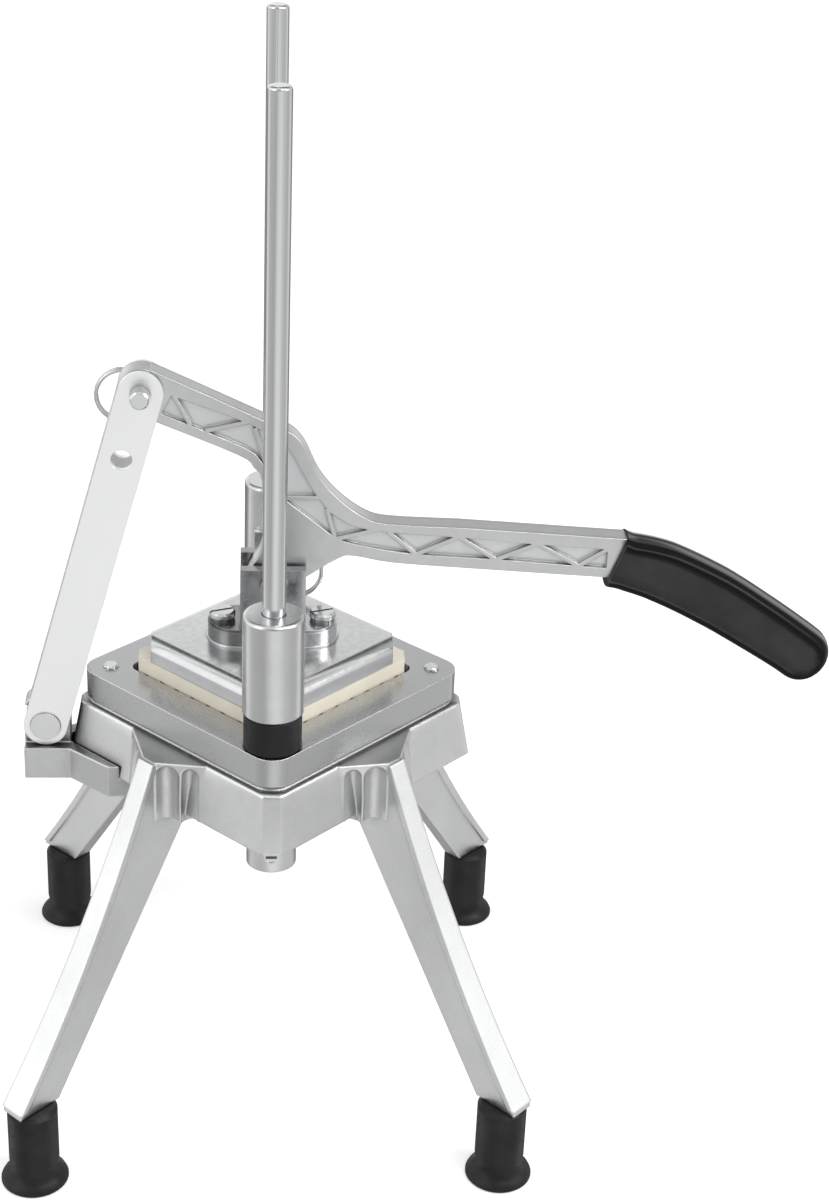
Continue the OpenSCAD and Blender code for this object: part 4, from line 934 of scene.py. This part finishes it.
class FRYCUTTER_OT_stage(bpy.types.Operator):
    """Build the floor, the light and the camera"""

    bl_idname = "fry_cutter.stage"
    bl_label = "Studio"

    def execute(self, context):
        return run(self.build_stage, self.bl_label)

    def build_stage(self):
        studio = bpy.context.scene.fry_cutter_studio
        self.floor(studio)
        self.world(studio)
        self.lamps(studio)
        self.camera(studio)
        bpy.context.scene.view_settings.view_transform = "Standard"

    def floor(self, studio):
        """A wide, flat, pale floor; the metal mirrors the studio in its place."""
        half = studio.floor_half
        bm = bmesh.new()
        corners = ((-half, -half), (half, -half), (half, half), (-half, half))
        bm.faces.new([bm.verts.new((x, y, 0)) for x, y in corners])
        mesh = bpy.data.meshes.new("studio_floor")
        bm.to_mesh(mesh)
        bm.free()
        floor = bpy.data.objects.new("studio_floor", mesh)
        bpy.context.scene.collection.objects.link(floor)
        mesh.materials.append(self.floor_material(studio))
        floor.visible_glossy = False
        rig.stage(floor)

    def floor_material(self, studio):
        """Matte floor that takes the object's shadow and is a touch brighter to the camera."""
        material = bpy.data.materials.new("pale_floor")
        material.use_nodes = True
        nodes, links = material.node_tree.nodes, material.node_tree.links
        shader = nodes["Principled BSDF"]
        shader.inputs["Base Color"].default_value = (*studio.floor_colour, 1)
        shader.inputs["Roughness"].default_value = 0.9
        shader.inputs["Specular IOR Level"].default_value = 0.0
        shader.inputs["Emission Color"].default_value = (1, 1, 1, 1)
        path = nodes.new("ShaderNodeLightPath")
        glow = nodes.new("ShaderNodeMath")
        glow.operation = "MULTIPLY"
        glow.inputs[1].default_value = studio.floor_glow
        links.new(path.outputs["Is Camera Ray"], glow.inputs[0])
        links.new(glow.outputs["Value"], shader.inputs["Emission Strength"])
        return material

    def room(self, nodes, links, vector):
        """Brightness of the studio in a direction: three rings that vary, and a plain ceiling."""
        way = nodes.new("ShaderNodeVectorMath")
        way.operation = "NORMALIZE"
        links.new(vector, way.inputs[0])
        split = nodes.new("ShaderNodeSeparateXYZ")
        links.new(way.outputs["Vector"], split.inputs["Vector"])
        bearing = nodes.new("ShaderNodeTexGradient")
        bearing.gradient_type = "RADIAL"
        links.new(way.outputs["Vector"], bearing.inputs["Vector"])
        shade = self.ring(nodes, links, bearing.outputs["Fac"], ROOM_FLOOR)
        for stops, start, end in ((ROOM_LOW, LOW_FROM, LOW_TO), (ROOM_HIGH, HIGH_FROM, HIGH_TO),
                                  (None, CEILING_FROM, CEILING_TO)):
            rise = nodes.new("ShaderNodeMapRange")
            rise.interpolation_type = "SMOOTHSTEP"
            rise.inputs["From Min"].default_value = start
            rise.inputs["From Max"].default_value = end
            links.new(split.outputs["Z"], rise.inputs["Value"])
            mix = nodes.new("ShaderNodeMix")
            mix.data_type = "RGBA"
            links.new(rise.outputs["Result"], mix.inputs["Factor"])
            links.new(shade, mix.inputs["A"])
            mix.inputs["B"].default_value = (CEILING, CEILING, CEILING, 1)
            if stops:
                links.new(self.ring(nodes, links, bearing.outputs["Fac"], stops), mix.inputs["B"])
            shade = mix.outputs["Result"]
        return shade

    def ring(self, nodes, links, bearing, stops):
        """Grey ramp through the given stops of bearing and brightness."""
        node = nodes.new("ShaderNodeValToRGB")
        ends = node.color_ramp.elements
        ends[0].position, ends[1].position = stops[0][0], stops[-1][0]
        for element, stop in ((ends[0], stops[0]), (ends[1], stops[-1])):
            element.color = (stop[1], stop[1], stop[1], 1)
        for position, grey in stops[1:-1]:
            ends.new(position).color = (grey, grey, grey, 1)
        links.new(bearing, node.inputs["Fac"])
        return node.outputs["Color"]

    def world(self, studio):
        """White to the camera; to the object a studio with lit and dark sides."""
        world = bpy.data.worlds.new("studio_room")
        bpy.context.scene.world = world
        world.use_nodes = True
        nodes, links = world.node_tree.nodes, world.node_tree.links
        sky = nodes["Background"]
        place = nodes.new("ShaderNodeTexCoord")
        links.new(self.room(nodes, links, place.outputs["Generated"]), sky.inputs["Color"])
        sky.inputs["Strength"].default_value = studio.room_light
        white = nodes.new("ShaderNodeBackground")
        white.inputs["Color"].default_value = (1, 1, 1, 1)
        mix = nodes.new("ShaderNodeMixShader")
        path = nodes.new("ShaderNodeLightPath")
        links.new(path.outputs["Is Camera Ray"], mix.inputs["Fac"])
        links.new(sky.outputs["Background"], mix.inputs[1])
        links.new(white.outputs["Background"], mix.inputs[2])
        links.new(mix.outputs["Shader"], nodes["World Output"].inputs["Surface"])

    def lamps(self, studio):
        """Soft boxes at both sides, and a long one that slants down from the front to the grip."""
        middle = Vector((0, 0, studio.aim_height))
        # Name, place, width, height, slant in degrees and power
        boxes = (
            ("key_light", (-1.3, -0.9, 1.1), 0.9, 1.6, 0.0, studio.key_power),
            ("fill_light", (1.5, -0.5, 0.9), 0.7, 1.4, 0.0, studio.fill_power),
            ("long_light", (0.85, -0.65, 1.2), 1.6, 0.3, -31.0, studio.long_power),
        )
        for name, place, width, height, slant, power in boxes:
            lamp = bpy.data.lights.new(name, "AREA")
            lamp.shape = "RECTANGLE"
            lamp.size, lamp.size_y = width, height
            lamp.energy = power
            holder = bpy.data.objects.new(name, lamp)
            aim = (middle - Vector(place)).to_track_quat("-Z", "Y")
            tilt = Matrix.Rotation(math.radians(slant), 4, "Z")
            holder.matrix_world = Matrix.Translation(place) @ aim.to_matrix().to_4x4() @ tilt
            bpy.context.scene.collection.objects.link(holder)

    def camera(self, studio):
        """The photograph's camera, rebuilt from its pitch, turn, roll and focal length."""
        lens = bpy.data.cameras.new("photo_camera")
        lens.sensor_width = SENSOR_MM
        lens.lens = SENSOR_MM * studio.focal_px / max(PHOTO_SIZE)
        camera = bpy.data.objects.new("photo_camera", lens)
        turn = Matrix.Rotation(studio.camera_turn, 4, "Z")
        pitch = Matrix.Rotation(math.radians(90) - studio.camera_pitch, 4, "X")
        roll = Matrix.Rotation(studio.camera_roll, 4, "Z")
        camera.matrix_world = Matrix.Translation(studio.camera_place) @ turn @ pitch @ roll
        bpy.context.scene.collection.objects.link(camera)
        bpy.context.scene.camera = camera


OPERATORS = (
    FRYCUTTER_OT_base,
    FRYCUTTER_OT_plate,
    FRYCUTTER_OT_head,
    FRYCUTTER_OT_rods,
    FRYCUTTER_OT_lever,
    FRYCUTTER_OT_grip,
    FRYCUTTER_OT_link,
    FRYCUTTER_OT_feet,
    FRYCUTTER_OT_fasteners,
    FRYCUTTER_OT_rings,
    FRYCUTTER_OT_stage,
)


class FRYCUTTER_PT_panel(bpy.types.Panel):
    """Lists the finishing steps and their settings"""

    bl_idname = "FRYCUTTER_PT_panel"
    bl_label = "Fry Cutter"
    bl_space_type = "VIEW_3D"
    bl_region_type = "UI"
    bl_category = "Fry Cutter"

    def draw(self, context):
        layout = self.layout
        for operator in OPERATORS:
            layout.operator(operator.bl_idname)
        for group in (
            context.scene.fry_cutter_colours,
            context.scene.fry_cutter_details,
            context.scene.fry_cutter_grip,
            context.scene.fry_cutter_studio,
        ):
            box = layout.box()
            for name in group.bl_rna.properties.keys():
                if name not in ("rna_type", "name"):
                    box.prop(group, name)


GROUPS = (FryCutterColours, FryCutterDetails, FryCutterGrip, FryCutterStudio)


def register():
    for group in (*GROUPS, *OPERATORS, FRYCUTTER_PT_panel):
        bpy.utils.register_class(group)
    bpy.types.Scene.fry_cutter_colours = PointerProperty(type=FryCutterColours)
    bpy.types.Scene.fry_cutter_details = PointerProperty(type=FryCutterDetails)
    bpy.types.Scene.fry_cutter_grip = PointerProperty(type=FryCutterGrip)
    bpy.types.Scene.fry_cutter_studio = PointerProperty(type=FryCutterStudio)


def unregister():
    del bpy.types.Scene.fry_cutter_studio
    del bpy.types.Scene.fry_cutter_grip
    del bpy.types.Scene.fry_cutter_details
    del bpy.types.Scene.fry_cutter_colours
    for group in reversed((*GROUPS, *OPERATORS, FRYCUTTER_PT_panel)):
        bpy.utils.unregister_class(group)


def main():
    register()
    for operator in OPERATORS:
        group, name = operator.bl_idname.split(".")
        getattr(getattr(bpy.ops, group), name)()
    sizes = {
        "cad": [list(corner) for corner in CAD_BOX],
        "visual": [list(corner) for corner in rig.bounds()],
    }
    with open("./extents.json", "w") as out:
        json.dump(sizes, out)


if __name__ == "__main__":
    main()
